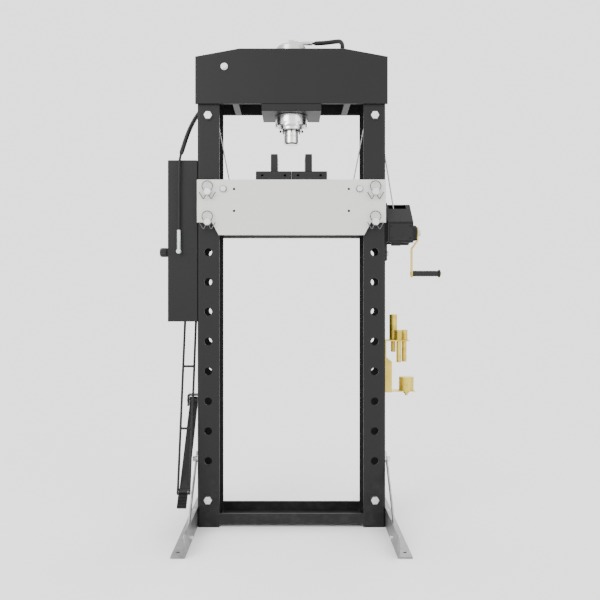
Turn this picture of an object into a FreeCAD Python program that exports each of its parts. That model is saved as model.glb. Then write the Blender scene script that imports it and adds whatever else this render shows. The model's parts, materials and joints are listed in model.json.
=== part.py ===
import FreeCAD, Part
import math
import os

import Sketcher

Vector = FreeCAD.Vector

# ---------------------------------------------------------------- driving dimensions, millimetres
DIMENSIONS = [
    ("upright_inner", 277.5, "centre line to the open edge of an upright"),
    ("upright_wide", 85, "upright flange width"),
    ("upright_deep", 160, "upright depth, front to rear"),
    ("upright_wall", 8, "upright sheet thickness"),
    ("upright_tall", 1790, "upright height"),
    ("upright_bend", 9, "outer bend radius of the upright"),
    ("pin_hole_wide", 30, "bed pin hole diameter"),
    ("pin_hole_low", 255, "height of the lowest pin hole"),
    ("pin_hole_pitch", 115, "pin hole spacing"),
    ("pin_hole_count", 10, "pin holes in each upright"),
    ("pin_hole_inset", 43.5, "open edge to the pin hole centre"),
    ("head_wide", 739, "head plate width"),
    ("head_low", 1629, "head plate lower edge"),
    ("head_shoulder", 1810, "head plate height at its ends"),
    ("head_high", 1841, "head plate top edge"),
    ("head_flat", 400, "length of the head's flat top"),
    ("head_plate", 12, "head plate thickness"),
    ("spacer_place", 215, "centre line to a head spacer"),
    ("spacer_wide", 24, "head spacer thickness"),
    ("block_wide", 229, "cylinder block width"),
    ("block_lip", 28, "cylinder block below the head plates"),
    ("block_boss", 61, "cylinder block between the head plates"),
    ("barrel_wide", 100, "cylinder barrel diameter in the block"),
    ("barrel_shoulder", 120, "cylinder barrel diameter above the block"),
    ("barrel_bore", 76, "cylinder bore"),
    ("barrel_high", 1878, "top of the cylinder barrel"),
    ("nut_wide", 130, "cylinder nut diameter"),
    ("nut_tall", 45, "cylinder nut height"),
    ("nut_slots", 8, "slots around the cylinder nut"),
    ("ram_wide", 60, "ram diameter"),
    ("ram_low", 1489, "underside of the saddle with the ram up"),
    ("saddle_tall", 31, "saddle height"),
    ("bed_half", 362, "centre line to the bed plate's end"),
    ("bed_low", 1125, "bed plate lower edge"),
    ("bed_high", 1337, "bed plate top edge"),
    ("bed_plate", 16, "bed plate thickness"),
    ("bed_step", 48, "rise of the bed plate's end over its lower edge"),
    ("bed_tie_place", 261, "centre line to a bed tie bolt"),
    ("bed_tie_high", 1301, "bed tie bolt height"),
    ("bed_hole_place", 220, "centre line to the small bed holes"),
    ("bed_hole_wide", 10, "small bed hole diameter"),
    ("bed_hole_drop", 84, "spacing of the small bed holes"),
    ("pin_wide", 28, "bed pin diameter"),
    ("pin_nose", 24, "bed pin beyond the rear bed plate"),
    ("pin_head", 22, "bed pin in front of the front bed plate"),
    ("clip_wire", 3.6, "spring clip wire diameter"),
    ("clip_loop", 20, "spring clip loop radius"),
    ("box_left", 477, "centre line to the pump box's outer side"),
    ("box_low", 792, "pump box lower edge"),
    ("box_high", 1415, "pump box top"),
    ("box_front", -78, "pump box front face"),
    ("box_rear", 90, "pump box rear face"),
    ("box_wall", 4, "pump box sheet thickness"),
    ("manifold_low", 1053, "underside of the pump manifold"),
    ("manifold_tall", 19, "pump manifold thickness"),
    ("plunger_wide", 22, "pump plunger diameter"),
    ("knob_wide", 37, "release knob diameter"),
    ("knob_long", 38, "release knob length"),
    ("pedal_place", 400, "centre line to the pedal's centre plane"),
    ("pedal_wide", 32, "pedal lever width"),
    ("pedal_pivot_y", 100, "pedal pivot behind the centre plane"),
    ("pedal_pivot_z", 461, "pedal pivot height"),
    ("pedal_link_y", -178, "link pin in front of the centre plane"),
    ("pedal_link_z", 165, "link pin height"),
    ("link_top_y", 4, "link top pin behind the centre plane"),
    ("link_top_z", 812, "link top pin height"),
    ("link_rail", 9, "ladder link rail diameter"),
    ("lever_pin", 12, "pedal pin diameter"),
    ("axle_high", 1586, "rope pulley axle height"),
    ("axle_wide", 18, "rope pulley axle diameter"),
    ("rope_wide", 5, "wire rope diameter"),
    ("pulley_radius", 27.4, "rope centre radius on the pulley"),
    ("tie_radius", 16, "bed spacer radius"),
    ("winch_plate", 8.7, "winch mounting plate thickness"),
    ("winch_right", 470, "winch housing's outer side"),
    ("winch_high", 1253, "winch housing top"),
    ("winch_low", 1100, "winch housing lower edge"),
    ("winch_wall", 3, "winch housing sheet thickness"),
    ("crank_high", 1139, "crank axis height"),
    ("crank_y", -5, "crank axis behind the centre plane"),
    ("crank_reach", 160, "crank radius"),
    ("gear_distance", 60, "crank axis to drum axis"),
    ("gear_teeth", 38, "teeth on the drum gear"),
    ("pinion_teeth", 12, "teeth on the pinion"),
    ("grip_wide", 23, "grip diameter"),
    ("grip_long", 110, "grip length"),
    ("foot_long", 782, "foot length"),
    ("foot_tall", 75, "foot upright leg"),
    ("foot_wide", 50, "foot flat leg"),
    ("foot_wall", 6, "foot thickness"),
    ("channel_low", 13, "underside of the bottom channel"),
    ("channel_tall", 40, "bottom channel flange height"),
    ("channel_wall", 6, "bottom channel thickness"),
    ("block_base", 137, "press block length"),
    ("block_base_tall", 33, "press block base height"),
    ("block_tall", 103, "press block height over its rib"),
    ("block_deep", 180, "press block depth"),
    ("block_rib", 27, "press block rib thickness"),
    ("rack_high", 718, "punch shelf height"),
    ("rack_low", 528, "punch rack lower edge"),
    ("rack_sheet", 4, "punch rack sheet thickness"),
    ("punch_tall", 99, "tall punch above its shelf"),
    ("mandrel_wide", 58, "mandrel diameter"),
    ("mandrel_tall", 53, "mandrel height"),
    ("hose_wide", 9, "pressure hose diameter"),
    ("sleeve_wide", 17, "hose sleeve diameter"),
    ("running_fit", 0.05, "radial clearance of a shaft in its bore"),
    ("loose_fit", 0.3, "clearance between pieces that pass each other"),
]

doc = FreeCAD.newDocument("Press")
sheet = doc.addObject("Spreadsheet::Sheet", "Sizes")
for row, (alias, number, meaning) in enumerate(DIMENSIONS, start=1):
    sheet.set(f"A{row}", meaning)
    sheet.set(f"B{row}", str(number))
    sheet.setAlias(f"B{row}", alias)
doc.recompute()


class Size:
    """A length that carries its number and the sheet expression it comes from."""

    def __init__(self, value, text):
        self.value = float(value)
        self.text = text

    @staticmethod
    def of(thing):
        return thing if isinstance(thing, Size) else Size(thing, f"({float(thing):.6f})")

    def _with(self, sign, value, first, second):
        return Size(value, f"({first.text} {sign} {second.text})")

    def __add__(self, other):
        other = Size.of(other)
        return self._with("+", self.value + other.value, self, other)

    def __sub__(self, other):
        other = Size.of(other)
        return self._with("-", self.value - other.value, self, other)

    def __mul__(self, other):
        other = Size.of(other)
        return self._with("*", self.value * other.value, self, other)

    def __truediv__(self, other):
        other = Size.of(other)
        return self._with("/", self.value / other.value, self, other)

    def __radd__(self, other):
        return Size.of(other) + self

    def __rsub__(self, other):
        return Size.of(other) - self

    def __rmul__(self, other):
        return Size.of(other) * self

    def __neg__(self):
        return Size.of(-1) * self


class Sheet:
    """Gives each spreadsheet cell as a Size, by its alias."""

    def __getattr__(self, alias):
        return Size(getattr(sheet, alias), f"Sizes.{alias}")


s = Sheet()
NODES = {}
ROOT_FRONT = -s.upright_deep / 2
ROOT_REAR = s.upright_deep / 2
WEB = s.upright_inner + s.upright_wide          # outer face of an upright
PIN_X = s.upright_inner + s.pin_hole_inset      # pin holes and rope axles stand on this line
HEAD_HALF = s.upright_deep / 2 + s.head_plate
TURNS = {
    "X": FreeCAD.Rotation(Vector(0, 1, 0), 90),
    "-X": FreeCAD.Rotation(Vector(0, 1, 0), -90),
    "Y": FreeCAD.Rotation(Vector(1, 0, 0), -90),
    "-Y": FreeCAD.Rotation(Vector(1, 0, 0), 90),
    "Z": FreeCAD.Rotation(),
    "-Z": FreeCAD.Rotation(Vector(1, 0, 0), 180),
}
PLANES = {"XY": ("XY_Plane", 1), "XZ": ("XZ_Plane", -1), "YZ": ("YZ_Plane", 1)}
counter = {}


# ---------------------------------------------------------------- building blocks
def fresh(name):
    counter[name] = counter.get(name, 0) + 1
    return f"{name}_{counter[name]}"


def bind(item, **properties):
    for name, size in properties.items():
        item.setExpression(name, Size.of(size).text)


def place(item, spot, turn=None):
    if turn is not None:
        item.Placement = FreeCAD.Placement(Vector(), turn)
    for axis, size in zip("xyz", spot):
        item.setExpression(f"Placement.Base.{axis}", Size.of(size).text)
    return item


def box(low, high):
    item = doc.addObject("Part::Box", fresh("Box"))
    spans = [Size.of(top) - Size.of(bottom) for bottom, top in zip(low, high)]
    bind(item, Length=spans[0], Width=spans[1], Height=spans[2])
    return place(item, low)


def rod(axis, start, length, diameter):
    item = doc.addObject("Part::Cylinder", fresh("Rod"))
    bind(item, Radius=Size.of(diameter) / 2, Height=length)
    return place(item, start, TURNS[axis])


def hexagon(axis, start, length, flats):
    item = doc.addObject("Part::Prism", fresh("Hexagon"))
    item.Polygon = 6
    bind(item, Circumradius=Size.of(flats) / math.sqrt(3), Height=length)
    return place(item, start, TURNS[axis])


def join(*items):
    item = doc.addObject("Part::MultiFuse", fresh("Join"))
    item.Shapes = list(items)
    return item


def group(*items):
    item = doc.addObject("Part::Compound", fresh("Group"))
    item.Links = list(items)
    return item


def cut(base, *tools):
    item = doc.addObject("Part::Cut", fresh("Cut"))
    item.Base = base
    item.Tool = tools[0] if len(tools) == 1 else join(*tools)
    return item


def ring(axis, start, length, outer, inner):
    return cut(rod(axis, start, length, outer), rod(axis, start, length, inner))


def rounded(base, radius, chosen):
    """Round the edges of base that the test picks."""
    doc.recompute()
    item = doc.addObject("Part::Fillet", fresh("Round"))
    item.Base = base
    wanted = [i for i, edge in enumerate(base.Shape.Edges, start=1) if chosen(edge)]
    item.Edges = [(i, Size.of(radius).value, Size.of(radius).value) for i in wanted]
    return item


def bevelled(base, width, chosen):
    """Chamfer the edges of base that the test picks."""
    doc.recompute()
    item = doc.addObject("Part::Chamfer", fresh("Bevel"))
    item.Base = base
    wanted = [i for i, edge in enumerate(base.Shape.Edges, start=1) if chosen(edge)]
    item.Edges = [(i, Size.of(width).value, Size.of(width).value) for i in wanted]
    return item


def along(axis):
    """A test for straight edges that run along an axis."""
    want = {"X": Vector(1, 0, 0), "Y": Vector(0, 1, 0), "Z": Vector(0, 0, 1)}[axis]

    def test(edge):
        straight = isinstance(edge.Curve, (Part.Line, Part.LineSegment))
        return straight and abs(edge.tangentAt(edge.FirstParameter).dot(want)) > 0.999

    return test


def round_edges(edge):
    return isinstance(edge.Curve, Part.Circle)


def sketch_on(body, plane, offset, points):
    """A closed outline whose corners are bound to the sheet."""
    role, side = PLANES[plane]
    support = [item for item in body.Origin.OriginFeatures if item.Role == role][0]
    sketch = body.newObject("Sketcher::SketchObject", fresh("Outline"))
    sketch.AttachmentSupport = [(support, "")]
    sketch.MapMode = "FlatFace"
    bind(sketch, **{"AttachmentOffset.Base.z": Size.of(offset) * side})
    corners = [(Size.of(x), Size.of(y)) for x, y in points]
    count = len(corners)
    for i, (x, y) in enumerate(corners):
        after_x, after_y = corners[(i + 1) % count]
        start = Vector(x.value, y.value, 0)
        sketch.addGeometry(Part.LineSegment(start, Vector(after_x.value, after_y.value, 0)), False)
    for i, (x, y) in enumerate(corners):
        sketch.addConstraint(Sketcher.Constraint("Coincident", i, 2, (i + 1) % count, 1))
        for kind, size in (("DistanceX", x), ("DistanceY", y)):
            index = sketch.addConstraint(Sketcher.Constraint(kind, -1, 1, i, 1, size.value))
            sketch.setExpression(f"Constraints[{index}]", size.text)
    return sketch


def prism(plane, offset, length, points):
    """An outline padded by a length towards +Z, +Y or +X from its plane's offset."""
    body = doc.addObject("PartDesign::Body", fresh("Body"))
    sketch = sketch_on(body, plane, offset, points)
    pad = body.newObject("PartDesign::Pad", fresh("Pad"))
    pad.Profile = sketch
    pad.Reversed = PLANES[plane][1] < 0
    bind(pad, Length=length)
    body.Tip = pad
    return body


def turned(axis, spot, profile):
    """A profile of (radius, height) corners revolved about its axis, standing on spot."""
    body = doc.addObject("PartDesign::Body", fresh("Body"))
    sketch = sketch_on(body, "XZ", 0, profile)
    spin = body.newObject("PartDesign::Revolution", fresh("Revolution"))
    spin.Profile = sketch
    spin.ReferenceAxis = (sketch, ["V_Axis"])
    spin.Angle = 360
    body.Tip = spin
    return place(body, spot, TURNS[axis])


def swept(points, diameter, hollow=None, radii=None):
    """A tube along straight runs joined by tangent arcs, and the arc radii that it used."""
    spots = [Vector(*spot) for spot in points]
    edges = []
    used = []
    start = spots[0]
    for i in range(1, len(spots) - 1):
        back = spots[i - 1] - spots[i]
        ahead = spots[i + 1] - spots[i]
        turn = math.pi - back.getAngle(ahead)
        radius = 0.45 * min(back.Length, ahead.Length) / math.tan(turn / 2)
        if radii is not None and radii[i] is not None:
            radius = radii[i]
        reach = radius * math.tan(turn / 2)
        first = spots[i] + back.normalize() * reach
        last = spots[i] + ahead.normalize() * reach
        middle_way = (back + ahead).normalize()
        middle = spots[i] + middle_way * (radius / math.cos(turn / 2) - radius)
        edges.append(Part.LineSegment(start, first).toShape())
        edges.append(Part.Arc(first, middle, last).toShape())
        used.append(round(radius, 1))
        start = last
    edges.append(Part.LineSegment(start, spots[-1]).toShape())
    path = Part.Wire(edges)
    heading = spots[1] - spots[0]
    solid = pipe_on(path, spots[0], heading, diameter)
    if hollow is not None:
        solid = solid.cut(pipe_on(path, spots[0], heading, hollow))
    return solid, path.Length, used


def pipe_on(path, start, heading, diameter):
    section = Part.Wire(Part.makeCircle(diameter / 2, start, heading))
    return path.makePipeShell([section], True, False)


def shape_feature(shape):
    item = doc.addObject("Part::Feature", fresh("Feature"))
    item.Shape = shape
    return item


def node(name, item):
    item.Label = name
    NODES[name] = item
    return item


# ---------------------------------------------------------------- frame
def hex_bolt(axis, spot, length, diameter, head_tall):
    """A bolt whose head sits on spot, shank running along axis."""
    back = axis[1:] if axis.startswith("-") else "-" + axis
    flats = Size.of(diameter) * 1.5
    washer = rod(back, spot, 2.5, Size.of(diameter) * 2)
    reach = {"X": (1, 0, 0), "Y": (0, 1, 0), "Z": (0, 0, 1)}[axis.strip("-")]
    way = 1 if axis.startswith("-") else -1
    above = [Size.of(value) + 2.5 * way * step for value, step in zip(spot, reach)]
    head = hexagon(back, above, head_tall, flats)
    return join(rod(axis, spot, length, diameter), washer, head)


LOWER_BOLT_DROP = 149


def upright(side):
    inner = side * s.upright_inner
    outer = side * WEB
    hollow = side * (WEB - s.upright_wall)
    lip = ROOT_REAR - s.upright_wall
    channel = prism("XY", 0, s.upright_tall, [
        (inner, ROOT_FRONT), (outer, ROOT_FRONT), (outer, ROOT_REAR), (inner, ROOT_REAR),
        (inner, lip), (hollow, lip), (hollow, -lip), (inner, -lip)])

    def outer_bend(edge):
        return along("Z")(edge) and abs(abs(edge.CenterOfMass.x) - WEB.value) < 0.01

    bent = rounded(channel, s.upright_bend, outer_bend)
    holes = []
    for i in range(round(s.pin_hole_count.value)):
        height = s.pin_hole_low + i * s.pin_hole_pitch
        holes.append(rod("Y", (side * PIN_X, ROOT_FRONT - 5, height), s.upright_deep + 10, s.pin_hole_wide))
    for height in (s.axle_high, s.pin_hole_low - LOWER_BOLT_DROP):
        holes.append(rod("Y", (side * PIN_X, ROOT_FRONT - 5, height), s.upright_deep + 10,
                         s.axle_wide + 2 * s.running_fit))
    if side > 0:
        holes.append(box((WEB - 20, -10, s.axle_high - 125), (WEB + 5, 10, s.axle_high - 25)))
    return cut(bent, *holes)


def head_plate(front):
    start = -HEAD_HALF if front else ROOT_REAR
    half = s.head_wide / 2
    flat = s.head_flat / 2
    plate = prism("XZ", start, s.head_plate, [
        (-half, s.head_low), (half, s.head_low), (half, s.head_shoulder),
        (flat, s.head_high), (-flat, s.head_high), (-half, s.head_shoulder)])
    if front:
        plate = cut(plate, rod("Y", (-258, -HEAD_HALF - 1, 1771), s.head_plate + 2, 20))
    return bevelled(plate, 1.5, lambda edge: not along("Y")(edge) and not round_edges(edge))


def head_spacers():
    bars = []
    for side in (-1, 1):
        left = side * s.spacer_place - s.spacer_wide / 2
        bars.append(box((left, ROOT_FRONT, s.head_low), (left + s.spacer_wide, ROOT_REAR, s.head_low + 150)))
    return group(*bars)


def cylinder_block():
    half = s.block_wide / 2
    low = s.head_low - s.block_lip
    slab = box((-half, -HEAD_HALF, low), (half, HEAD_HALF, s.head_low))
    boss = box((19.5 - half, ROOT_FRONT, s.head_low), (half - 19.5, ROOT_REAR, s.head_low + s.block_boss))
    body = join(bevelled(slab, 2, along("X")), boss)
    return cut(body, rod("Z", (0, 0, low - 5), 150, s.barrel_wide + 2 * s.running_fit))


def bottom_channel():
    outer = ROOT_REAR
    inner = ROOT_REAR - s.channel_wall
    floor = s.channel_low + s.channel_wall
    top = s.channel_low + s.channel_tall
    return prism("YZ", -s.upright_inner, 2 * s.upright_inner, [
        (-outer, s.channel_low), (outer, s.channel_low), (outer, top), (inner, top),
        (inner, floor), (-inner, floor), (-inner, top), (-outer, top)])


def foot(side):
    near = side * WEB
    far = side * (WEB + s.foot_wide)
    thick = side * (WEB + s.foot_wall)
    angle = prism("XZ", -s.foot_long / 2, s.foot_long, [
        (near, 0), (far, 0), (far, s.foot_wall), (thick, s.foot_wall), (thick, s.foot_tall), (near, s.foot_tall)])

    def ends(edge):
        upper = edge.BoundBox.ZMin > s.foot_tall.value - 1
        return along("X")(edge) and upper

    angle = bevelled(angle, 18, ends)
    holes = [rod("Z", (side * (WEB + 30), y, -1), 10, 13) for y in (-350, 350)]
    return cut(angle, *holes)


BRACE_TOP_Y = 45
BRACE_TOP_Z = 255
BRACE_FOOT_Y = 278
BRACE_FOOT_Z = 32
BRACE_WIDE = 25
BRACE_THICK = 5


def braces():
    bars = []
    for side in (-1, 1):
        for way in (-1, 1):
            low = Vector(0, way * BRACE_FOOT_Y, BRACE_FOOT_Z)
            high = Vector(0, way * BRACE_TOP_Y, BRACE_TOP_Z)
            run = high - low
            start = s.foot_wall + WEB if side > 0 else -(WEB + s.foot_wall + BRACE_THICK)
            angle = math.degrees(math.atan2(run.z, run.y))
            blank = box((0, -BRACE_WIDE / 2, -BRACE_WIDE / 2), (BRACE_THICK, run.Length + BRACE_WIDE / 2, BRACE_WIDE / 2))
            flat = rounded(blank, BRACE_WIDE / 2 - 0.5, along("X"))
            bar = cut(flat, rod("X", (-1, 0, 0), 10, 12.4), rod("X", (-1, run.Length, 0), 10, 12.4))
            bars.append(place(bar, (start, low.y, low.z), FreeCAD.Rotation(Vector(1, 0, 0), angle)))
    return group(*bars)


def frame_bolts():
    """Bolts through the braces, feet and webs, and the spacers under the braces' top ends."""
    items = []
    for side in (-1, 1):
        inward = "-X" if side > 0 else "X"
        outward = "X" if side > 0 else "-X"
        brace_face = side * (WEB + s.foot_wall + BRACE_THICK)
        for way in (-1, 1):
            items.append(hex_bolt(inward, (brace_face, way * BRACE_TOP_Y, BRACE_TOP_Z), 30, 12, 8))
            items.append(hex_bolt(inward, (brace_face, way * BRACE_FOOT_Y, BRACE_FOOT_Z), 22, 12, 8))
            items.append(ring(outward, (side * WEB, way * BRACE_TOP_Y, BRACE_TOP_Z), s.foot_wall, 24, 12.4))
            items.append(hex_bolt(inward, (side * (WEB + s.foot_wall), way * 62, 55), 30, 12, 8))
    items.append(join(rod("Y", (-258, -HEAD_HALF - 2, 1771), s.head_plate + 2, 20),
                      hexagon("-Y", (-258, -HEAD_HALF - 2, 1771), 7, 19),
                      rod("-Y", (-258, -HEAD_HALF, 1771), 2, 27)))
    return group(*items)


def drill_frame_holes(item, side):
    """Clearance holes for the frame bolts in an upright or a foot."""
    tools = []
    for way in (-1, 1):
        for y, z in ((BRACE_TOP_Y, BRACE_TOP_Z), (BRACE_FOOT_Y, BRACE_FOOT_Z), (62, 55)):
            tools.append(rod("X", (side * WEB - 25, way * y, z), 60, 12.1))
    return cut(item, *tools)


node("upright_left", drill_frame_holes(upright(-1), -1))
node("upright_right", drill_frame_holes(upright(1), 1))
node("head_front_plate", head_plate(True))
node("head_rear_plate", head_plate(False))
node("head_spacers", head_spacers())
node("cylinder_block", cylinder_block())
node("bottom_channel", bottom_channel())
node("foot_left", drill_frame_holes(foot(-1), -1))
node("foot_right", drill_frame_holes(foot(1), 1))
node("foot_braces", braces())
node("frame_bolts", frame_bolts())


# ---------------------------------------------------------------- hydraulic cylinder
BLOCK_LOW = s.head_low - s.block_lip
NUT_LOW = BLOCK_LOW - s.nut_tall
GLAND_LOW = BLOCK_LOW - 58
BORE_TOP = s.barrel_high - 32


def barrel():
    bore = s.barrel_bore / 2
    shank = s.barrel_wide / 2
    body = s.barrel_shoulder / 2
    seat = s.head_low + s.block_boss
    return turned("Z", (0, 0, 0), [
        (bore, NUT_LOW + 4), (shank, NUT_LOW + 4), (shank, seat), (body, seat),
        (body, s.barrel_high - 8), (body - 8, s.barrel_high), (0, s.barrel_high),
        (0, BORE_TOP), (bore, BORE_TOP)])


def cylinder_nut():
    collar = turned("Z", (0, 0, 0), [
        (s.barrel_wide / 2 + s.running_fit, NUT_LOW), (s.nut_wide / 2 - 3, NUT_LOW), (s.nut_wide / 2, NUT_LOW + 3),
        (s.nut_wide / 2, BLOCK_LOW - 2), (s.nut_wide / 2 - 2, BLOCK_LOW), (s.barrel_wide / 2 + s.running_fit, BLOCK_LOW)])
    slots = []
    count = round(s.nut_slots.value)
    for i in range(count):
        angle = 360 * (i + 0.5) / count
        slot = box((0, -7, 0), (20, 7, 14))
        turn = FreeCAD.Rotation(Vector(0, 0, 1), angle)
        reach = turn.multVec(Vector(s.nut_wide.value / 2 - 8, -0, 0))
        slots.append(place(slot, (reach.x + 7 * math.sin(math.radians(angle)),
                                  reach.y - 7 * math.cos(math.radians(angle)), NUT_LOW - 1), turn))
    return cut(collar, *slots)


def gland():
    outer = s.barrel_bore / 2
    bore = s.ram_wide / 2 + s.running_fit
    seat = NUT_LOW + 4
    flange = turned("Z", (0, 0, 0), [
        (bore, GLAND_LOW + 6), (bore + 7, GLAND_LOW + 6), (bore + 7, GLAND_LOW), (47, GLAND_LOW), (49, GLAND_LOW + 2),
        (49, seat), (outer, seat), (outer, seat + 30), (bore, seat + 30)])
    return flange


def gland_screws():
    screws = []
    for i in range(8):
        angle = math.radians(45 * i)
        x = 43.5 * math.cos(angle)
        y = 43.5 * math.sin(angle)
        head = cut(rod("-Z", (x, y, GLAND_LOW), 5, 8), hexagon("-Z", (x, y, GLAND_LOW - 2), 4, 4))
        screws.append(head)
    return group(*screws)


def ram():
    radius = s.ram_wide / 2
    neck = 18
    low = s.ram_low + s.saddle_tall
    return turned("Z", (0, 0, 0), [
        (0, low - 16), (neck, low - 16), (neck, low), (radius, low), (radius, BORE_TOP - 45),
        (neck, BORE_TOP - 45), (neck, BORE_TOP - 6), (0, BORE_TOP - 6)])


def piston():
    outer = s.barrel_bore / 2 - s.running_fit
    return turned("Z", (0, 0, 0), [
        (18 + s.running_fit, BORE_TOP - 45), (outer, BORE_TOP - 45), (outer, BORE_TOP - 32), (outer - 4, BORE_TOP - 32),
        (outer - 4, BORE_TOP - 24), (outer, BORE_TOP - 24), (outer, BORE_TOP - 10), (18 + s.running_fit, BORE_TOP - 10)])


def saddle():
    radius = s.ram_wide / 2 + 0.5
    low = s.ram_low
    high = low + s.saddle_tall
    return turned("Z", (0, 0, 0), [
        (0, low), (radius - 5, low), (radius, low + 5), (radius, high - 2), (radius - 2, high),
        (18 + s.running_fit, high), (18 + s.running_fit, high - 18), (0, high - 18)])


def wiper():
    bore = s.ram_wide / 2 + 0.2
    return turned("Z", (0, 0, 0), [
        (bore, GLAND_LOW - 1.5), (bore + 3, GLAND_LOW - 1.5), (bore + 6.6, GLAND_LOW + 1), (bore + 6.6, GLAND_LOW + 5.9),
        (bore, GLAND_LOW + 5.9)])


node("cylinder_barrel", barrel())
node("cylinder_nut", cylinder_nut())
node("gland", gland())
node("gland_screws", gland_screws())
node("ram_wiper", wiper())
node("ram", ram())
node("piston", piston())
node("saddle", saddle())

PORT_Z = s.barrel_high + 14
node("port_elbow", join(box((-11, -11, s.barrel_high + 4), (11, 11, s.barrel_high + 24)),
                        rod("Z", (0, 0, s.barrel_high), 4, 20),
                        hexagon("X", (11, 0, PORT_Z), 14, 17), rod("X", (25, 0, PORT_Z), 21, 13)))


# ---------------------------------------------------------------- pump box
BOX_RIGHT = -WEB
BOX_LEFT = -s.box_left
MANIFOLD_TOP = s.manifold_low + s.manifold_tall
MANIFOLD_MID = s.manifold_low + s.manifold_tall / 2
HOSE_X = -432
HOSE_Y = s.box_front - 12


def box_shell(low, high, closed_top):
    blank = box((BOX_LEFT, s.box_front, low), (BOX_RIGHT, s.box_rear, high))
    top = Size.of(high).value

    def outside(edge):
        return along("Z")(edge) or (closed_top and edge.BoundBox.ZMin > top - 0.1)

    roof = high - s.box_wall if closed_top else high + 1
    hollow = box((BOX_LEFT + s.box_wall, s.box_front + s.box_wall, low - 1),
                 (BOX_RIGHT - s.box_wall, s.box_rear - s.box_wall, roof))
    return cut(rounded(blank, 3, outside), hollow)


def manifold():
    blank = box((BOX_LEFT - 0.8, s.box_front - 0.8, s.manifold_low), (BOX_RIGHT, s.box_rear + 0.8, MANIFOLD_TOP))
    valve = rod("X", (BOX_LEFT - 2, 0, MANIFOLD_MID), 34, 12 + 2 * s.running_fit)
    port = rod("Y", (HOSE_X, s.box_front - 2, MANIFOLD_MID), 20, 10)
    return cut(blank, valve, port)


def release_knob():
    radius = s.knob_wide / 2
    return turned("-X", (BOX_LEFT - 6, 0, MANIFOLD_MID), [
        (6.02, 0), (radius - 4, 0), (radius - 2, 6), (radius, 8), (radius, s.knob_long - 5),
        (radius - 4, s.knob_long), (0, s.knob_long), (0, s.knob_long - 7), (6.02, s.knob_long - 7)])


def plunger():
    body = rod("Z", (-s.pedal_place, s.link_top_y, s.link_top_z - 16), 230, s.plunger_wide)
    eye = rod("X", (-s.pedal_place - 20, s.link_top_y, s.link_top_z), 40, s.link_rail + 5.4)
    return cut(body, eye)


def pump_barrel():
    low = s.manifold_low - 123
    return cut(rod("Z", (-s.pedal_place, s.link_top_y, low), 123, 44),
               rod("Z", (-s.pedal_place, s.link_top_y, low - 1), 117, s.plunger_wide + 2 * s.running_fit))


node("oil_tank", box_shell(MANIFOLD_TOP, s.box_high, True))
node("pump_manifold", manifold())
node("pump_cover", box_shell(s.box_low, s.manifold_low, False))
node("pump_barrel", pump_barrel())
node("pump_plunger", plunger())
node("release_knob", group(release_knob(), rod("-X", (BOX_LEFT + 30, 0, MANIFOLD_MID), 28 + s.knob_long, 12)))
node("banjo_fitting", join(rod("-Y", (HOSE_X, s.box_front - 0.8, MANIFOLD_MID), 20, 18),
                           rod("Y", (HOSE_X, s.box_front - 0.8, MANIFOLD_MID), 18, 10),
                           hexagon("-Y", (HOSE_X, s.box_front - 20, MANIFOLD_MID), 6, 15),
                           hexagon("Z", (HOSE_X, HOSE_Y, MANIFOLD_MID), 38, 14)))


# ---------------------------------------------------------------- foot pedal
PIVOT = Vector(0, s.pedal_pivot_y.value, s.pedal_pivot_z.value)
LINK_LOW = Vector(0, s.pedal_link_y.value, s.pedal_link_z.value)
LINK_HIGH = Vector(0, s.link_top_y.value, s.link_top_z.value)
LEVER_RUN = (LINK_LOW - PIVOT).Length
LINK_RUN = (LINK_HIGH - LINK_LOW).Length
RAIL_OFFSET = s.pedal_wide / 2 + 1 + s.link_rail / 2


def tilt(run):
    return FreeCAD.Rotation(Vector(1, 0, 0), math.degrees(math.atan2(run.z, run.y)))


def pedal_lever():
    half = s.pedal_wide / 2
    bar = box((-half, 0, -6), (half, LEVER_RUN + 64, 6))
    hub = rod("X", (-half, 0, 0), s.pedal_wide, 30)
    eye = rod("X", (-half, LEVER_RUN, 0), s.pedal_wide, 26)
    blank = rounded(join(bar, hub, eye), 2, lambda edge: along("X")(edge) and edge.BoundBox.YMin > LEVER_RUN + 60)
    bores = [rod("X", (-half - 1, y, 0), s.pedal_wide + 2, s.lever_pin + 2 * s.running_fit) for y in (0, LEVER_RUN)]
    lever = cut(blank, *bores)
    return place(lever, (-s.pedal_place, s.pedal_pivot_y, s.pedal_pivot_z), tilt(LINK_LOW - PIVOT))


def pedal_pad():
    half = s.pedal_wide / 2 + 1
    pad = box((-half, LEVER_RUN + 15, -16), (half, LEVER_RUN + 68, -6))
    pad = rounded(pad, 3, lambda edge: edge.BoundBox.ZMax < -15.9 or along("Z")(edge))
    return place(pad, (-s.pedal_place, s.pedal_pivot_y, s.pedal_pivot_z), tilt(LINK_LOW - PIVOT))


def pedal_link():
    parts = []
    bores = []
    for side in (-1, 1):
        x = side * RAIL_OFFSET
        parts.append(rod("Z", (x, 0, 8), LINK_RUN - 8, s.link_rail))
        parts.append(rod("X", (x - 2.8, 0, 0), 5.6, 22))
        parts.append(rod("X", (x - 2.8, 0, LINK_RUN), 5.6, 14))
        bores.append(rod("X", (x - 10, 0, 0), 20, s.lever_pin + 2 * s.running_fit))
    for height in (231.6, 469.5, LINK_RUN):
        parts.append(rod("X", (-RAIL_OFFSET, 0, height), 2 * RAIL_OFFSET, s.link_rail))
    ladder = cut(join(*parts), *bores)
    lean = math.degrees(math.atan2(LINK_HIGH.y - LINK_LOW.y, LINK_HIGH.z - LINK_LOW.z))
    return place(ladder, (-s.pedal_place, s.pedal_link_y, s.pedal_link_z), FreeCAD.Rotation(Vector(1, 0, 0), -lean))


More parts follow.
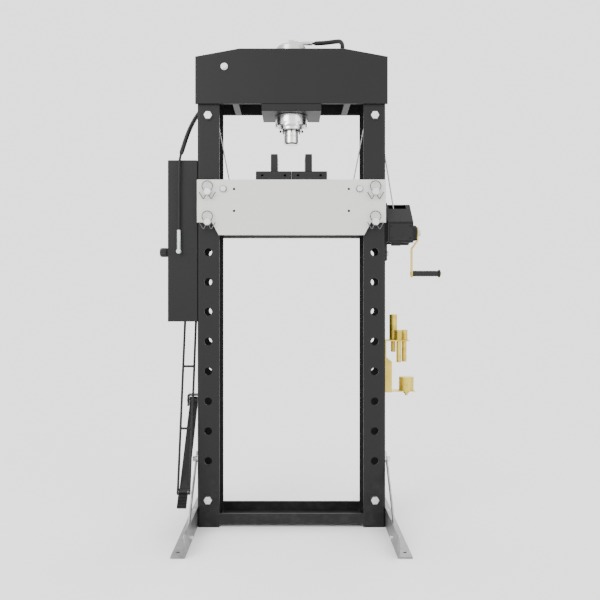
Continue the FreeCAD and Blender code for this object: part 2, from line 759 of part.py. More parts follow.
def pedal_bracket():
    outer = -s.pedal_place - s.pedal_wide / 2 - 4
    back = s.pedal_pivot_y + 18
    low = s.pedal_pivot_z - 22
    high = s.pedal_pivot_z + 26
    wall = box((BOX_RIGHT - 6, 20, low), (BOX_RIGHT, back, high))
    roof = box((outer - 6, s.pedal_pivot_y - 18, high - 6), (BOX_RIGHT, back, high))
    cheek = box((outer - 6, s.pedal_pivot_y - 18, low), (outer, back, high))
    bracket = rounded(join(wall, roof, cheek), 5, lambda edge: along("Y")(edge) and edge.BoundBox.ZMin > high.value - 0.1
                      and edge.BoundBox.XMax < outer.value)
    return cut(bracket, rod("X", (outer - 20, s.pedal_pivot_y, s.pedal_pivot_z), 90, s.lever_pin + 2 * s.running_fit))


def pedal_pins():
    reach = s.pedal_wide / 2 + 4 + 6 + 4
    pivot = rod("X", (-s.pedal_place - reach, s.pedal_pivot_y, s.pedal_pivot_z), reach + s.pedal_place - WEB, s.lever_pin)
    span = RAIL_OFFSET + 5
    low = rod("X", (-s.pedal_place - span, s.pedal_link_y, s.pedal_link_z), 2 * span, s.lever_pin)
    return group(pivot, low)


node("pedal_bracket", pedal_bracket())
node("pedal_lever", pedal_lever())
node("pedal_pad", pedal_pad())
node("pedal_link", pedal_link())
node("pedal_pins", pedal_pins())


# ---------------------------------------------------------------- bed
BED_FRONT = ROOT_FRONT - s.bed_plate
BED_REAR = ROOT_REAR + s.bed_plate
PIN_ROWS = {"lower": s.pin_hole_low + 8 * s.pin_hole_pitch, "upper": s.pin_hole_low + 9 * s.pin_hole_pitch}


ROPE_BAR_X = 192
ROPE_BAR_Z = 1165
ROPE_BAR_WIDE = 30


def bed_plate(start):
    step = s.bed_low + s.bed_step
    half = s.bed_half
    plate = prism("XZ", start, s.bed_plate, [
        (-half, step), (-half + 57, step), (-half + 83, s.bed_low), (half - 83, s.bed_low),
        (half - 57, step), (half, step), (half, s.bed_high), (-half, s.bed_high)])
    plate = bevelled(plate, 1.2, lambda edge: not along("Y")(edge))
    holes = []
    for side in (-1, 1):
        for height in PIN_ROWS.values():
            holes.append(rod("Y", (side * PIN_X, start - 1, height), s.bed_plate + 2, s.pin_wide + 2 * s.loose_fit))
        holes.append(rod("Y", (side * s.bed_tie_place, start - 1, s.bed_tie_high), s.bed_plate + 2, 13.6))
        for drop in (0, s.bed_hole_drop):
            holes.append(rod("Y", (side * s.bed_hole_place, start - 1, s.bed_tie_high - drop), s.bed_plate + 2,
                             s.bed_hole_wide))
    return cut(plate, *holes)


def bed_crossbars():
    """The tubes on the tie bolts and the round bars that the rope runs under."""
    tubes = []
    for side in (-1, 1):
        tubes.append(ring("Y", (side * s.bed_tie_place, ROOT_FRONT, s.bed_tie_high), s.upright_deep,
                          2 * s.tie_radius, 13.6))
        tubes.append(rod("Y", (side * ROPE_BAR_X, ROOT_FRONT, ROPE_BAR_Z), s.upright_deep, ROPE_BAR_WIDE))
    return group(*tubes)


def tie_bolts():
    items = []
    for side in (-1, 1):
        x = side * s.bed_tie_place
        items.append(hex_bolt("Y", (x, BED_FRONT, s.bed_tie_high), s.upright_deep + 2 * s.bed_plate + 14, 13.5, 8))
        items.append(cut(join(rod("Y", (x, BED_REAR, s.bed_tie_high), 2.5, 27),
                              hexagon("Y", (x, BED_REAR + 2.5, s.bed_tie_high), 9, 20)),
                         rod("Y", (x, BED_REAR - 1, s.bed_tie_high), 20, 13.5)))
    return group(*items)


def bed_pin(x, height):
    """A pin with a cross slot in its head, and the wire clip that sits in the slot."""
    front = BED_FRONT - s.pin_head
    length = s.upright_deep + 2 * s.bed_plate + s.pin_head + s.pin_nose
    body = rod("Y", (0, 0, 0), length, s.pin_wide)
    body = bevelled(body, 2.5, round_edges)
    slot = box((-20, 8 - 0.2, -17), (20, 8 + 0.2 + s.clip_wire, s.clip_wire / 2 + 0.5))
    pin = place(cut(body, slot), (x, front, height))
    wire = s.clip_wire.value
    middle = 8 + wire / 2
    loop = doc.addObject("Part::Torus", fresh("Loop"))
    bind(loop, Radius1=s.clip_loop, Radius2=s.clip_wire / 2)
    place(loop, (0, middle, s.clip_loop), TURNS["Y"])
    legs, _, _ = swept([(-31, middle, -3), (-14.5, middle, -31), (0, middle, -1), (14.5, middle, -31), (31, middle, -3)],
                       wire, radii=[None, 3, 3, 3, None])
    clip = place(join(loop, shape_feature(legs)), (x, front, height))
    return group(pin, clip)


node("bed_front_plate", bed_plate(BED_FRONT))
node("bed_rear_plate", bed_plate(ROOT_REAR))
node("bed_crossbars", bed_crossbars())
node("bed_tie_bolts", tie_bolts())
for row, height in PIN_ROWS.items():
    for hand, side in (("left", -1), ("right", 1)):
        node(f"bed_pin_{row}_{hand}", bed_pin(side * PIN_X, height))


# ---------------------------------------------------------------- lifting gear
def axle_bolts():
    """The upper axle bolts and the lower tie bolts of both uprights, with their rear nuts."""
    items = []
    for side in (-1, 1):
        for height in (s.axle_high, s.pin_hole_low - LOWER_BOLT_DROP):
            spot = (side * PIN_X, ROOT_FRONT, height)
            items.append(hex_bolt("Y", spot, s.upright_deep + 16, s.axle_wide, 9))
            nut = join(rod("Y", (side * PIN_X, ROOT_REAR, height), 2.5, 34),
                       hexagon("Y", (side * PIN_X, ROOT_REAR + 2.5, height), 11, 27))
            items.append(cut(nut, rod("Y", (side * PIN_X, ROOT_REAR - 1, height), 30, s.axle_wide)))
    return group(*items)


def sheave(x):
    """A grooved wheel on a long hub, turned about Y."""
    bore = s.axle_wide / 2 + s.running_fit
    groove = s.pulley_radius - s.rope_wide / 2 - 0.2
    rim = groove + 6.5
    half = s.upright_deep / 2 - s.upright_wall - s.loose_fit
    return turned("Y", (x, 0, s.axle_high), [
        (bore, -half), (13, -half), (13, -9), (rim, -9), (rim, -6), (groove, -2.9), (groove, 2.9), (rim, 6),
        (rim, 9), (13, 9), (13, half), (bore, half)])


def tangent_points(first, first_radius, second, second_radius, side):
    """Where a straight rope leaves one circle and meets the next, on the given side of its run."""
    span = second - first
    ahead = Vector(span.x, 0, span.z).normalize()
    across = Vector(ahead.z, 0, -ahead.x) * side
    lean = (first_radius - second_radius) / span.Length
    normal = ahead * lean + across * math.sqrt(1 - lean * lean)
    return first + normal * first_radius, second + normal * second_radius


def arc_over(centre, radius, start, end, through):
    """An arc between two points of a circle, passing the side that the direction names."""
    middle = centre + through.normalize() * radius
    return Part.Arc(start, middle, end).toShape()


DRUM_Y = s.crank_y + 30
DRUM_RISE = math.sqrt(s.gear_distance.value ** 2 - 30 ** 2)
DRUM_Z = s.crank_high + DRUM_RISE
ROPE_DRUM_X = 412


def lift_rope():
    """Drum, right pulley, under both rope bars, left anchor: one rope in the centre plane."""
    grip = s.pulley_radius.value
    bar = (ROPE_BAR_WIDE + s.rope_wide.value) / 2 + 0.2
    drum = Vector(ROPE_DRUM_X, 0, DRUM_Z.value)
    right = Vector(PIN_X.value, 0, s.axle_high.value)
    left = Vector(-PIN_X.value, 0, s.axle_high.value)
    low_right = Vector(ROPE_BAR_X, 0, ROPE_BAR_Z)
    low_left = Vector(-ROPE_BAR_X, 0, ROPE_BAR_Z)
    off_drum, on_pulley = tangent_points(drum, 0, right, grip, 1)
    off_pulley, on_bar = crossing(right, grip, low_right, bar)
    mirror = [Vector(-spot.x, 0, spot.z) for spot in (off_pulley, on_bar)]
    under = Vector(low_right.x, 0, low_right.z - bar)
    under_left = Vector(low_left.x, 0, low_left.z - bar)
    tail = left + Vector(-grip, 0, 0)
    edges = [
        Part.LineSegment(off_drum, on_pulley).toShape(),
        arc_over(right, grip, on_pulley, off_pulley, Vector(0, 0, 1)),
        Part.LineSegment(off_pulley, on_bar).toShape(),
        arc_over(low_right, bar, on_bar, under, (on_bar + under - low_right * 2)),
        Part.LineSegment(under, under_left).toShape(),
        arc_over(low_left, bar, under_left, mirror[1], (mirror[1] + under_left - low_left * 2)),
        Part.LineSegment(mirror[1], mirror[0]).toShape(),
        arc_over(left, grip, mirror[0], tail, Vector(0, 0, 1)),
        Part.LineSegment(tail, tail - Vector(0, 0, 90)).toShape(),
    ]
    path = Part.Wire(edges)
    print("rope length", round(path.Length, 1))
    return pipe_on(path, off_drum, on_pulley - off_drum, s.rope_wide.value)


def crossing(first, first_radius, second, second_radius):
    """A run that leaves the first circle's inner side and meets the second's outer side."""
    span = second - first
    ahead = Vector(span.x, 0, span.z).normalize()
    across = Vector(ahead.z, 0, -ahead.x)
    lean = (first_radius + second_radius) / span.Length
    normal = ahead * lean + across * math.sqrt(1 - lean * lean)
    return first + normal * first_radius, second - normal * second_radius


def toothed_wheel(x, thickness, centre, teeth, module, phase, bore):
    """A spur wheel with straight-sided teeth, its axis along X."""
    pitch = module * teeth / 2
    step = 2 * math.pi / teeth
    flanks = [(pitch - 1.2 * module, 0.27), (pitch, 0.20), (pitch + 0.8 * module, 0.11)]
    corners = []
    for i in range(teeth):
        middle = phase + i * step
        for radius, share in flanks + [(radius, -share) for radius, share in reversed(flanks)]:
            angle = middle - share * step
            corners.append(Vector(x, centre.y + radius * math.cos(angle), centre.z + radius * math.sin(angle)))
    blank = Part.Face(Part.makePolygon(corners + corners[:1])).extrude(Vector(thickness, 0, 0))
    hole = Part.makeCylinder(bore, thickness + 2, Vector(x - 1, centre.y, centre.z), Vector(1, 0, 0))
    return shape_feature(blank.cut(hole))


GEAR_MODULE = 2 * s.gear_distance.value / (s.gear_teeth.value + s.pinion_teeth.value)
MESH_ANGLE = math.atan2(DRUM_RISE, 30)
DRUM_AXIS = Vector(0, DRUM_Y.value, DRUM_Z.value)
CRANK_AXIS = Vector(0, s.crank_y.value, s.crank_high.value)
SHAFT_WIDE = 16
WINCH_LEFT = WEB + s.winch_plate


def winch_housing():
    """A folded cover welded to the plate that bolts to the upright."""
    plate = rounded(box((WEB, -62, s.winch_low - 72), (WINCH_LEFT, 62, s.winch_high)), 8, along("X"))
    front = -80
    rear = 80
    wall = s.winch_wall
    shoulder = s.winch_low + 76
    ridge = 5
    outer = prism("YZ", WINCH_LEFT, s.winch_right - WINCH_LEFT, [
        (front, s.winch_low), (front, shoulder), (ridge, s.winch_high), (rear, s.winch_high), (rear, s.winch_low)])
    inner = prism("YZ", WINCH_LEFT + wall, s.winch_right - WINCH_LEFT - 2 * wall, [
        (front + wall, s.winch_low - 1), (front + wall, shoulder - 1.4), (ridge + 1, s.winch_high - wall),
        (rear - wall, s.winch_high - wall), (rear - wall, s.winch_low - 1)])
    slot = box((WINCH_LEFT + 12, -16, s.winch_high - 30), (s.winch_right - 18, 8, s.winch_high + 5))
    bores = [rod("X", (WINCH_LEFT - 1, DRUM_Y, DRUM_Z), 130, SHAFT_WIDE + 2 * s.running_fit),
             rod("X", (WINCH_LEFT - 1, s.crank_y, s.crank_high), 130, SHAFT_WIDE + 2 * s.running_fit)]
    return join(plate, cut(outer, inner, slot, *bores))


def drum():
    core = 22.2
    inner = SHAFT_WIDE / 2 + s.running_fit
    return turned("X", (WINCH_LEFT + 8, DRUM_Y, DRUM_Z), [
        (inner, 0), (38, 0), (38, 3), (core, 3), (core, 55), (38, 55), (38, 58), (inner, 58)])


GEAR_X = WINCH_LEFT + 66


def crank_arm():
    outer = 501
    inner = 478
    arm = prism("XZ", s.crank_y - 13, 26, [
        (outer - 5, s.crank_high + 24), (outer, s.crank_high + 24), (outer, s.crank_high - 31),
        (inner, s.crank_high - 64), (inner, s.crank_high - s.crank_reach - 16),
        (inner - 5, s.crank_high - s.crank_reach - 16), (inner - 5, s.crank_high - 62), (outer - 5, s.crank_high - 29)])
    arm = rounded(arm, 12, along("X"))
    arm = cut(arm, rod("X", (460, s.crank_y, s.crank_high), 60, SHAFT_WIDE + 0.1))
    low = s.crank_high - s.crank_reach
    return join(arm, rod("X", (470, s.crank_y, low), s.grip_long + 9, 10), rod("X", (470, s.crank_y, low), 3, 15),
                rod("X", (478.5 + s.grip_long + 0.3, s.crank_y, low), 3, 15))


def brake_hub():
    return turned("X", (s.winch_right + 0.5, s.crank_y, s.crank_high), [
        (8.05, 0), (24, 0), (24, 5), (29, 5), (31, 7), (31, 20), (26, 25), (8.05, 25)])


def grip():
    radius = s.grip_wide / 2
    long = s.grip_long
    return turned("X", (478.5, s.crank_y, s.crank_high - s.crank_reach), [
        (5.1, 0), (radius - 1, 0), (radius, 2), (radius, long - 10), (radius + 4.5, long - 5),
        (radius + 4.5, long - 2), (radius + 2, long), (5.1, long)])


node("axle_bolts", axle_bolts())
node("rope_pulley", sheave(PIN_X))
node("rope_anchor", sheave(-PIN_X))
node("lift_rope", shape_feature(lift_rope()))
node("winch_housing", winch_housing())
drum_gear = toothed_wheel(GEAR_X.value, 8, DRUM_AXIS, round(s.gear_teeth.value), GEAR_MODULE, MESH_ANGLE + math.pi,
                          SHAFT_WIDE / 2 + s.running_fit.value)
node("winch_drum", join(drum(), drum_gear))
node("drum_shaft", rod("X", (WINCH_LEFT + 1, DRUM_Y, DRUM_Z), s.winch_right - WINCH_LEFT, SHAFT_WIDE))
pinion = toothed_wheel(GEAR_X.value - 2, 12, CRANK_AXIS, round(s.pinion_teeth.value), GEAR_MODULE,
                       MESH_ANGLE + math.pi / s.pinion_teeth.value, SHAFT_WIDE / 4)
node("crank_shaft", join(rod("X", (WINCH_LEFT + 1, s.crank_y, s.crank_high), 137, SHAFT_WIDE), pinion,
                         hexagon("X", (501, s.crank_y, s.crank_high), 9, 22)))
node("brake_hub", brake_hub())
node("crank", crank_arm())
node("crank_grip", grip())


# ---------------------------------------------------------------- pressure hose
HOSE_ROUTE = [
    (-432, -90, 1144), (-432, -91, 1232), (-431.5, -93, 1325), (-430.5, -93, 1412), (-420, -68, 1462),
    (-409, -8, 1537), (-397, 55, 1596), (-377, 110, 1652), (-330, 119, 1715), (-245, 120, 1760),
    (-150, 117, 1776), (-50, 115, 1773), (50, 115, 1778), (135, 117, 1802), (190, 118, 1850),
    (211, 96, 1896), (204, 46, 1918), (170, 11, 1903), (125, 1, 1893), (82, 0, 1892)]


def pressure_hose():
    solid, length, radii = swept(HOSE_ROUTE, s.hose_wide.value)
    expected = length * math.pi * s.hose_wide.value ** 2 / 4
    print("hose length", round(length, 1), "radii", radii, "volume ratio", round(solid.Volume / expected, 4))
    return solid, radii


def hose_sleeve(radii):
    """The thick sleeve that covers the hose from above the pump box to the cylinder's crimp."""
    first = (Vector(*HOSE_ROUTE[3]) + Vector(*HOSE_ROUTE[4])) * 0.5
    last = Vector(*HOSE_ROUTE[-1]) + (Vector(*HOSE_ROUTE[-2]) - Vector(*HOSE_ROUTE[-1])).normalize() * 3
    route = [tuple(first)] + HOSE_ROUTE[4:-1] + [tuple(last)]
    kept = [None] + radii[3:] + [None]
    solid, _, _ = swept(route, s.sleeve_wide.value, hollow=s.hose_wide.value + 0.6, radii=kept)
    return solid


hose, hose_radii = pressure_hose()
node("pressure_hose", shape_feature(hose))
node("hose_sleeve", shape_feature(hose_sleeve(hose_radii)))
node("hose_crimps", group(rod("Z", (HOSE_X, HOSE_Y, MANIFOLD_MID + 38), 1144 - 38 - MANIFOLD_MID, 15),
                          rod("X", (46, 0, PORT_Z), 36, 15)))


# ---------------------------------------------------------------- tools kept on and beside the press
def punch_rack():
    near = WEB
    wall = s.rack_sheet
    back = box((near, -40, s.rack_low), (near + wall, 34, s.rack_high))
    shelf = box((near, -40, s.rack_high - wall), (near + 99, 34, s.rack_high))
    tray = box((near, -26, s.rack_low - 14), (near + 124, 16, s.rack_low - 10))
    face = prism("XZ", -44, wall, [
        (near, s.rack_low - 14), (near + 30, s.rack_low - 14), (near + 30, s.rack_low + 106),
        (near + 8, s.rack_low + 124), (near + 8, s.rack_high), (near, s.rack_high)])
    tie = box((near, -44, s.rack_low - 14), (near + 30, -26, s.rack_low - 10))
    skirt = box((near, -40, s.rack_low - 14), (near + wall, 16, s.rack_low))
    holes = [rod("Z", (x, y, s.rack_high - 10), 20, 20) for x, y in PUNCH_SPOTS.values()]
    holes.append(rod("Z", (MANDREL_X, MANDREL_Y, s.rack_low - 20), 20, 12.4))
    return cut(join(back, shelf, tray, face, tie, skirt), *holes)


PUNCH_SPOTS = {"tall": (WEB.value + 43, 12), "middle": (WEB.value + 60, -22), "outer": (WEB.value + 85, 3)}
MANDREL_X = WEB.value + 92
MANDREL_Y = -5
STEM_WIDE = 19


def punch(which, head_wide, head_tall, stem_long):
    x, y = PUNCH_SPOTS[which]
    return turned("Z", (x, y, s.rack_high), [
        (0, -stem_long), (STEM_WIDE / 2 - 1.5, -stem_long), (STEM_WIDE / 2, 1.5 - stem_long), (STEM_WIDE / 2, 0),
        (head_wide / 2, 0), (head_wide / 2, head_tall - 1.5), (head_wide / 2 - 1.5, head_tall), (0, head_tall)])


def mandrel():
    low = s.rack_low - 10
    radius = s.mandrel_wide / 2
    return turned("Z", (MANDREL_X, MANDREL_Y, low), [
        (0, -20), (6, -20), (6, 0), (radius - 1.5, 0), (radius, 1.5), (radius, s.mandrel_tall - 1.5),
        (radius - 1.5, s.mandrel_tall), (0, s.mandrel_tall)])


def press_block(side):
    gap = side * 0.15
    outer = side * s.block_base
    rib_in = side * (s.block_base - s.block_rib) / 2 - side * 2
    rib_out = rib_in + side * s.block_rib
    low = s.bed_high
    mid = low + s.block_base_tall
    half = s.block_deep / 2
    base = prism("XZ", -half, s.block_deep, [(gap, low), (outer, low), (outer, mid), (gap, mid)])
    rib = prism("XZ", 20 - half, s.block_deep - 40, [
        (rib_in, mid), (rib_out, mid), (rib_out, low + s.block_tall), (rib_in, low + s.block_tall)])
    base = bevelled(base, 1.5, lambda edge: True)
    rib = bevelled(rib, 1.5, lambda edge: edge.BoundBox.ZMax > mid.value + 1)
    holes = [rod("Y", (side * x, -half - 1, low + 17), s.block_deep + 2, 10) for x in (25, 112)]
    return cut(join(base, rib), *holes)


node("punch_rack", punch_rack())
node("tall_punch", punch("tall", 31, s.punch_tall, 50))
node("stepped_punches", group(punch("middle", 27, 38, 88), punch("outer", 27, 38, 88)))
mandrel_nut = cut(hexagon("-Z", (MANDREL_X, MANDREL_Y, s.rack_low - 14), 8, 19),
                  rod("-Z", (MANDREL_X, MANDREL_Y, s.rack_low - 12), 12, 12.1))
node("mandrel", group(mandrel(), mandrel_nut))
node("press_block_left", press_block(-1))
node("press_block_right", press_block(1))


# ---------------------------------------------------------------- checks and files
doc.recompute()
for item in doc.Objects:
    if "Invalid" in item.State or "Error" in item.State:
        raise RuntimeError(f"{item.Label} did not build: {item.State}")
for name, item in NODES.items():
    if item.Shape.isNull() or not item.Shape.isValid():
        raise RuntimeError(f"{name} has no valid shape")
os.makedirs("parts", exist_ok=True)
for name, item in NODES.items():
    item.Shape.exportStep(f"parts/{name}.step")
print(len(NODES), "nodes")
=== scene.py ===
"""Finishes the workshop press: paint and plating, hose, wire rope, knob, tread, welds and the studio."""

import json
import math

import bpy
import numpy as np
from bpy.props import FloatProperty, FloatVectorProperty, IntProperty, PointerProperty
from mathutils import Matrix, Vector


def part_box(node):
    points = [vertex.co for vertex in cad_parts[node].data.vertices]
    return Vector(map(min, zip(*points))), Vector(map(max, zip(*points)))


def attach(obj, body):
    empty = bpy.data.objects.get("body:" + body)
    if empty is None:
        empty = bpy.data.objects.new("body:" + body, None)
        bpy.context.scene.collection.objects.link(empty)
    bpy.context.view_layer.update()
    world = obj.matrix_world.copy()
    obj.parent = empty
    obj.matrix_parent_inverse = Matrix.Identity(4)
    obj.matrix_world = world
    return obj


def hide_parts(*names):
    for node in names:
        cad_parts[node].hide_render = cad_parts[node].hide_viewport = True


bl_info = {
    "name": "Workshop press finishes",
    "version": (1, 0, 0),
    "blender": (4, 5, 0),
    "location": "3D View > Sidebar > Press",
    "description": "Builds the soft and fine pieces of a workshop press and paints its steelwork",
    "category": "Object",
}

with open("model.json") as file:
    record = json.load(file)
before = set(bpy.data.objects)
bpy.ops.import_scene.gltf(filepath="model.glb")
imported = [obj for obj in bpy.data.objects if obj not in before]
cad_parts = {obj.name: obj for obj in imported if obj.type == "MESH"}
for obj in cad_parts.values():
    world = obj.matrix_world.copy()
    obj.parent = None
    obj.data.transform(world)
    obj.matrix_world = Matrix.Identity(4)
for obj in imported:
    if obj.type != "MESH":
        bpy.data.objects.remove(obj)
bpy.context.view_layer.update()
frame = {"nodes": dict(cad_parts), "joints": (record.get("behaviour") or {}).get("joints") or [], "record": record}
TURN = 2 * math.pi


# ------------------------------------------------------------------ settings that a user would change
class PressFinishes(bpy.types.PropertyGroup):
    """Colours of the press, linear light."""

    powder_coat: FloatVectorProperty(
        name="Powder coat", description="Black powder coat of the frame, pump box and winch",
        subtype="COLOR", default=(0.0085, 0.0085, 0.0088), min=0, max=1)
    bed_paint: FloatVectorProperty(
        name="Bed paint", description="Warm grey paint of the bed plates",
        subtype="COLOR", default=(0.56, 0.55, 0.53), min=0, max=1)
    bright_zinc: FloatVectorProperty(
        name="Bright zinc", description="Clear zinc plating of bolts, pins and feet",
        subtype="COLOR", default=(0.50, 0.51, 0.50), min=0, max=1)
    yellow_zinc: FloatVectorProperty(
        name="Yellow zinc", description="Yellow chromate plating of the punches, rack and crank",
        subtype="COLOR", default=(0.60, 0.43, 0.035), min=0, max=1)
    ground_steel: FloatVectorProperty(
        name="Ground steel", description="Ground and chromed ram, nut and gland",
        subtype="COLOR", default=(0.72, 0.72, 0.71), min=0, max=1)
    press_block: FloatVectorProperty(
        name="Press block", description="Blackened steel of the press blocks",
        subtype="COLOR", default=(0.009, 0.009, 0.0095), min=0, max=1)


class PressSizes(bpy.types.PropertyGroup):
    """Sizes of the fine pieces, in metres."""

    hose_diameter: FloatProperty(
        name="Hose", description="Outer diameter of the pressure hose", unit="LENGTH", default=0.009)
    sleeve_diameter: FloatProperty(
        name="Sleeve", description="Outer diameter of the hose sleeve", unit="LENGTH", default=0.017)
    rope_diameter: FloatProperty(
        name="Rope", description="Diameter of the wire rope", unit="LENGTH", default=0.005)
    rope_lay: FloatProperty(
        name="Rope lay", description="Length of rope in which a strand goes once round",
        unit="LENGTH", default=0.036)
    rope_strands: IntProperty(name="Strands", description="Strands round the rope's core", default=6)
    knob_flutes: IntProperty(name="Flutes", description="Flutes round the release knob", default=14)
    tread_ribs: IntProperty(name="Tread ribs", description="Ribs across the pedal tread", default=9)
    bead_width: FloatProperty(
        name="Weld bead", description="Width of a weld bead", unit="LENGTH", default=0.006)


class PressStudio(bpy.types.PropertyGroup):
    """Camera and light of the studio."""

    camera_distance: FloatProperty(
        name="Camera distance", description="Camera to the front of the uprights",
        unit="LENGTH", default=2.65)
    camera_height: FloatProperty(
        name="Camera height", description="Camera above the floor", unit="LENGTH", default=0.914)
    lens: FloatProperty(
        name="Lens", description="Focal length in millimetres on a 36 mm sensor", default=41.28)
    key_power: FloatProperty(
        name="Key light", description="Power of the key light", unit="POWER", default=120)
    sky: FloatProperty(name="Sky", description="Strength of the white surroundings", default=2.2)


# ------------------------------------------------------------------ meshes from arrays
def grid_faces(rows, columns, start=0):
    """Quads of a grid whose columns run round a ring: corner (i, j) is start + i * columns + j."""
    i, j = np.meshgrid(np.arange(rows - 1), np.arange(columns), indexing="ij")
    after = (j + 1) % columns
    ring, following = i * columns, (i + 1) * columns
    quads = np.stack([ring + j, ring + after, following + after, following + j], axis=-1)
    return quads.reshape(-1, 4) + start


def closed_rings(grid, start=0):
    """Vertices and faces of rings of points closed by a pole at each end.

    The grid has shape (rows, columns, 3). Each pole is the mean of its ring, so the ends are flat or
    rounded as the first and last rings are.
    """
    rows, columns, _ = grid.shape
    poles = np.stack([grid[0].mean(axis=0), grid[-1].mean(axis=0)])
    points = np.concatenate([grid.reshape(-1, 3), poles])
    first, last = rows * columns + start, rows * columns + 1 + start
    around = np.arange(columns)
    after = (around + 1) % columns
    near = np.stack([np.full(columns, first), after + start, around + start], axis=-1)
    base = (rows - 1) * columns + start
    far = np.stack([np.full(columns, last), base + around, base + after], axis=-1)
    return points, grid_faces(rows, columns, start), np.concatenate([near, far])


def make_piece(name, grids, smooth_angle=40):
    """One mesh object at the origin from a list of ring grids, each closed at its ends."""
    points, quads, fans, start = [], [], [], 0
    for grid in grids:
        some, sides, ends = closed_rings(np.asarray(grid, float), start)
        points.append(some)
        quads.append(sides)
        fans.append(ends)
        start += len(some)
    mesh = bpy.data.meshes.new(name)
    faces = np.concatenate(quads).tolist() + np.concatenate(fans).tolist()
    mesh.from_pydata(np.concatenate(points).tolist(), [], faces)
    mesh.update()
    if signed_volume(mesh) < 0:
        mesh.flip_normals()
    mesh.shade_smooth()
    mesh.set_sharp_from_angle(angle=math.radians(smooth_angle))
    piece = bpy.data.objects.new(name, mesh)
    bpy.context.scene.collection.objects.link(piece)
    return piece


def signed_volume(mesh):
    """Sum of the triangles' triple products a . (b x c) / 6: above 0 when the faces point outwards."""
    mesh.calc_loop_triangles()
    corners = np.empty(len(mesh.vertices) * 3)
    mesh.vertices.foreach_get("co", corners)
    index = np.empty(len(mesh.loop_triangles) * 3, int)
    mesh.loop_triangles.foreach_get("vertices", index)
    a, b, c = corners.reshape(-1, 3)[index.reshape(-1, 3)].transpose(1, 0, 2)
    return float(np.einsum("ij,ij->i", a, np.cross(b, c)).sum() / 6)


def steady_frames(points):
    """Tangent, normal and binormal at each point, the normal carried along with no twist.

    The normal at a point is the one before it with its part along the new tangent taken away.
    """
    tangents = np.gradient(points, axis=0)
    tangents /= np.linalg.norm(tangents, axis=1, keepdims=True)
    normals = np.empty_like(points)
    spare = np.eye(3)[np.argmin(np.abs(tangents[0]))]
    for i, tangent in enumerate(tangents):
        spare = spare - tangent * spare.dot(tangent)
        spare /= np.linalg.norm(spare)
        normals[i] = spare
    return tangents, normals, np.cross(tangents, normals)


def tube(points, radii, sides=16):
    """Rings of a given radius about each point of a path: centre + r (cos a n + sin a b)."""
    points = np.asarray(points, float)
    _, normals, binormals = steady_frames(points)
    angle = np.arange(sides) * TURN / sides
    spokes = (np.cos(angle)[None, :, None] * normals[:, None, :]
              + np.sin(angle)[None, :, None] * binormals[:, None, :])
    return points[:, None, :] + spokes * np.asarray(radii, float).reshape(-1, 1, 1)


def lathe(axis_point, axis, profile, sides=48, ripple=None):
    """Rings of a profile of (radius, distance) corners about an axis; ripple scales the radius by angle."""
    axis = np.asarray(axis, float)
    across = np.cross(axis, np.eye(3)[np.argmin(np.abs(axis))])
    across /= np.linalg.norm(across)
    other = np.cross(axis, across)
    profile = np.asarray(profile, float)
    angle = np.arange(sides) * TURN / sides
    spokes = np.cos(angle)[:, None] * across + np.sin(angle)[:, None] * other
    radius = profile[:, :1] * (np.ones(sides) if ripple is None else ripple(angle, profile))
    return (np.asarray(axis_point, float) + profile[:, 1][:, None, None] * axis
            + radius[:, :, None] * spokes[None, :, :])


def spaced(points, step):
    """Points a fixed step apart along a path, by its summed length."""
    points = np.asarray(points, float)
    along = np.concatenate([[0], np.cumsum(np.linalg.norm(np.diff(points, axis=0), axis=1))])
    wanted = np.linspace(0, along[-1], max(2, int(along[-1] / step) + 1))
    return np.stack([np.interp(wanted, along, points[:, k]) for k in range(3)], axis=1)


# ------------------------------------------------------------------ shader expressions
class Wire:
    """A number carried by a socket, with the arithmetic operators that make Math nodes."""

    def __init__(self, shader, socket):
        self.shader = shader
        self.socket = socket

    def _math(self, operation, first, second):
        node = self.shader.node("ShaderNodeMath", {"operation": operation}, {0: first, 1: second})
        return Wire(self.shader, node.outputs[0])

    def __add__(self, other):
        return self._math("ADD", self, other)

    def __sub__(self, other):
        return self._math("SUBTRACT", self, other)

    def __mul__(self, other):
        return self._math("MULTIPLY", self, other)

    def __rsub__(self, other):
        return self._math("SUBTRACT", other, self)

    __radd__ = __add__
    __rmul__ = __mul__


class Nodes:
    """A node tree, with the one method that adds a node."""

    def __init__(self, tree):
        self.tree = tree

    def node(self, kind, settings=None, sockets=None):
        """Adds a node, its settings first, then its sockets as values or links."""
        node = self.tree.nodes.new(kind)
        for name, value in (settings or {}).items():
            setattr(node, name, value)
        for name, value in (sockets or {}).items():
            if isinstance(value, Wire):
                self.tree.links.new(value.socket, node.inputs[name])
            else:
                node.inputs[name].default_value = value
        return node

    def output(self, kind, name, settings=None, sockets=None):
        return Wire(self, self.node(kind, settings, sockets).outputs[name])

    def size(self, value):
        """How far a number is from nought."""
        return self.output("ShaderNodeMath", "Value", {"operation": "ABSOLUTE"}, {0: value})

    def between(self, value, low, high, at_low=0.0, at_high=1.0):
        """at_low below low, at_high above high, smooth in between."""
        return self.output("ShaderNodeMapRange", "Result", {"interpolation_type": "SMOOTHSTEP"}, {
            "Value": value, "From Min": low, "From Max": high, "To Min": at_low, "To Max": at_high})


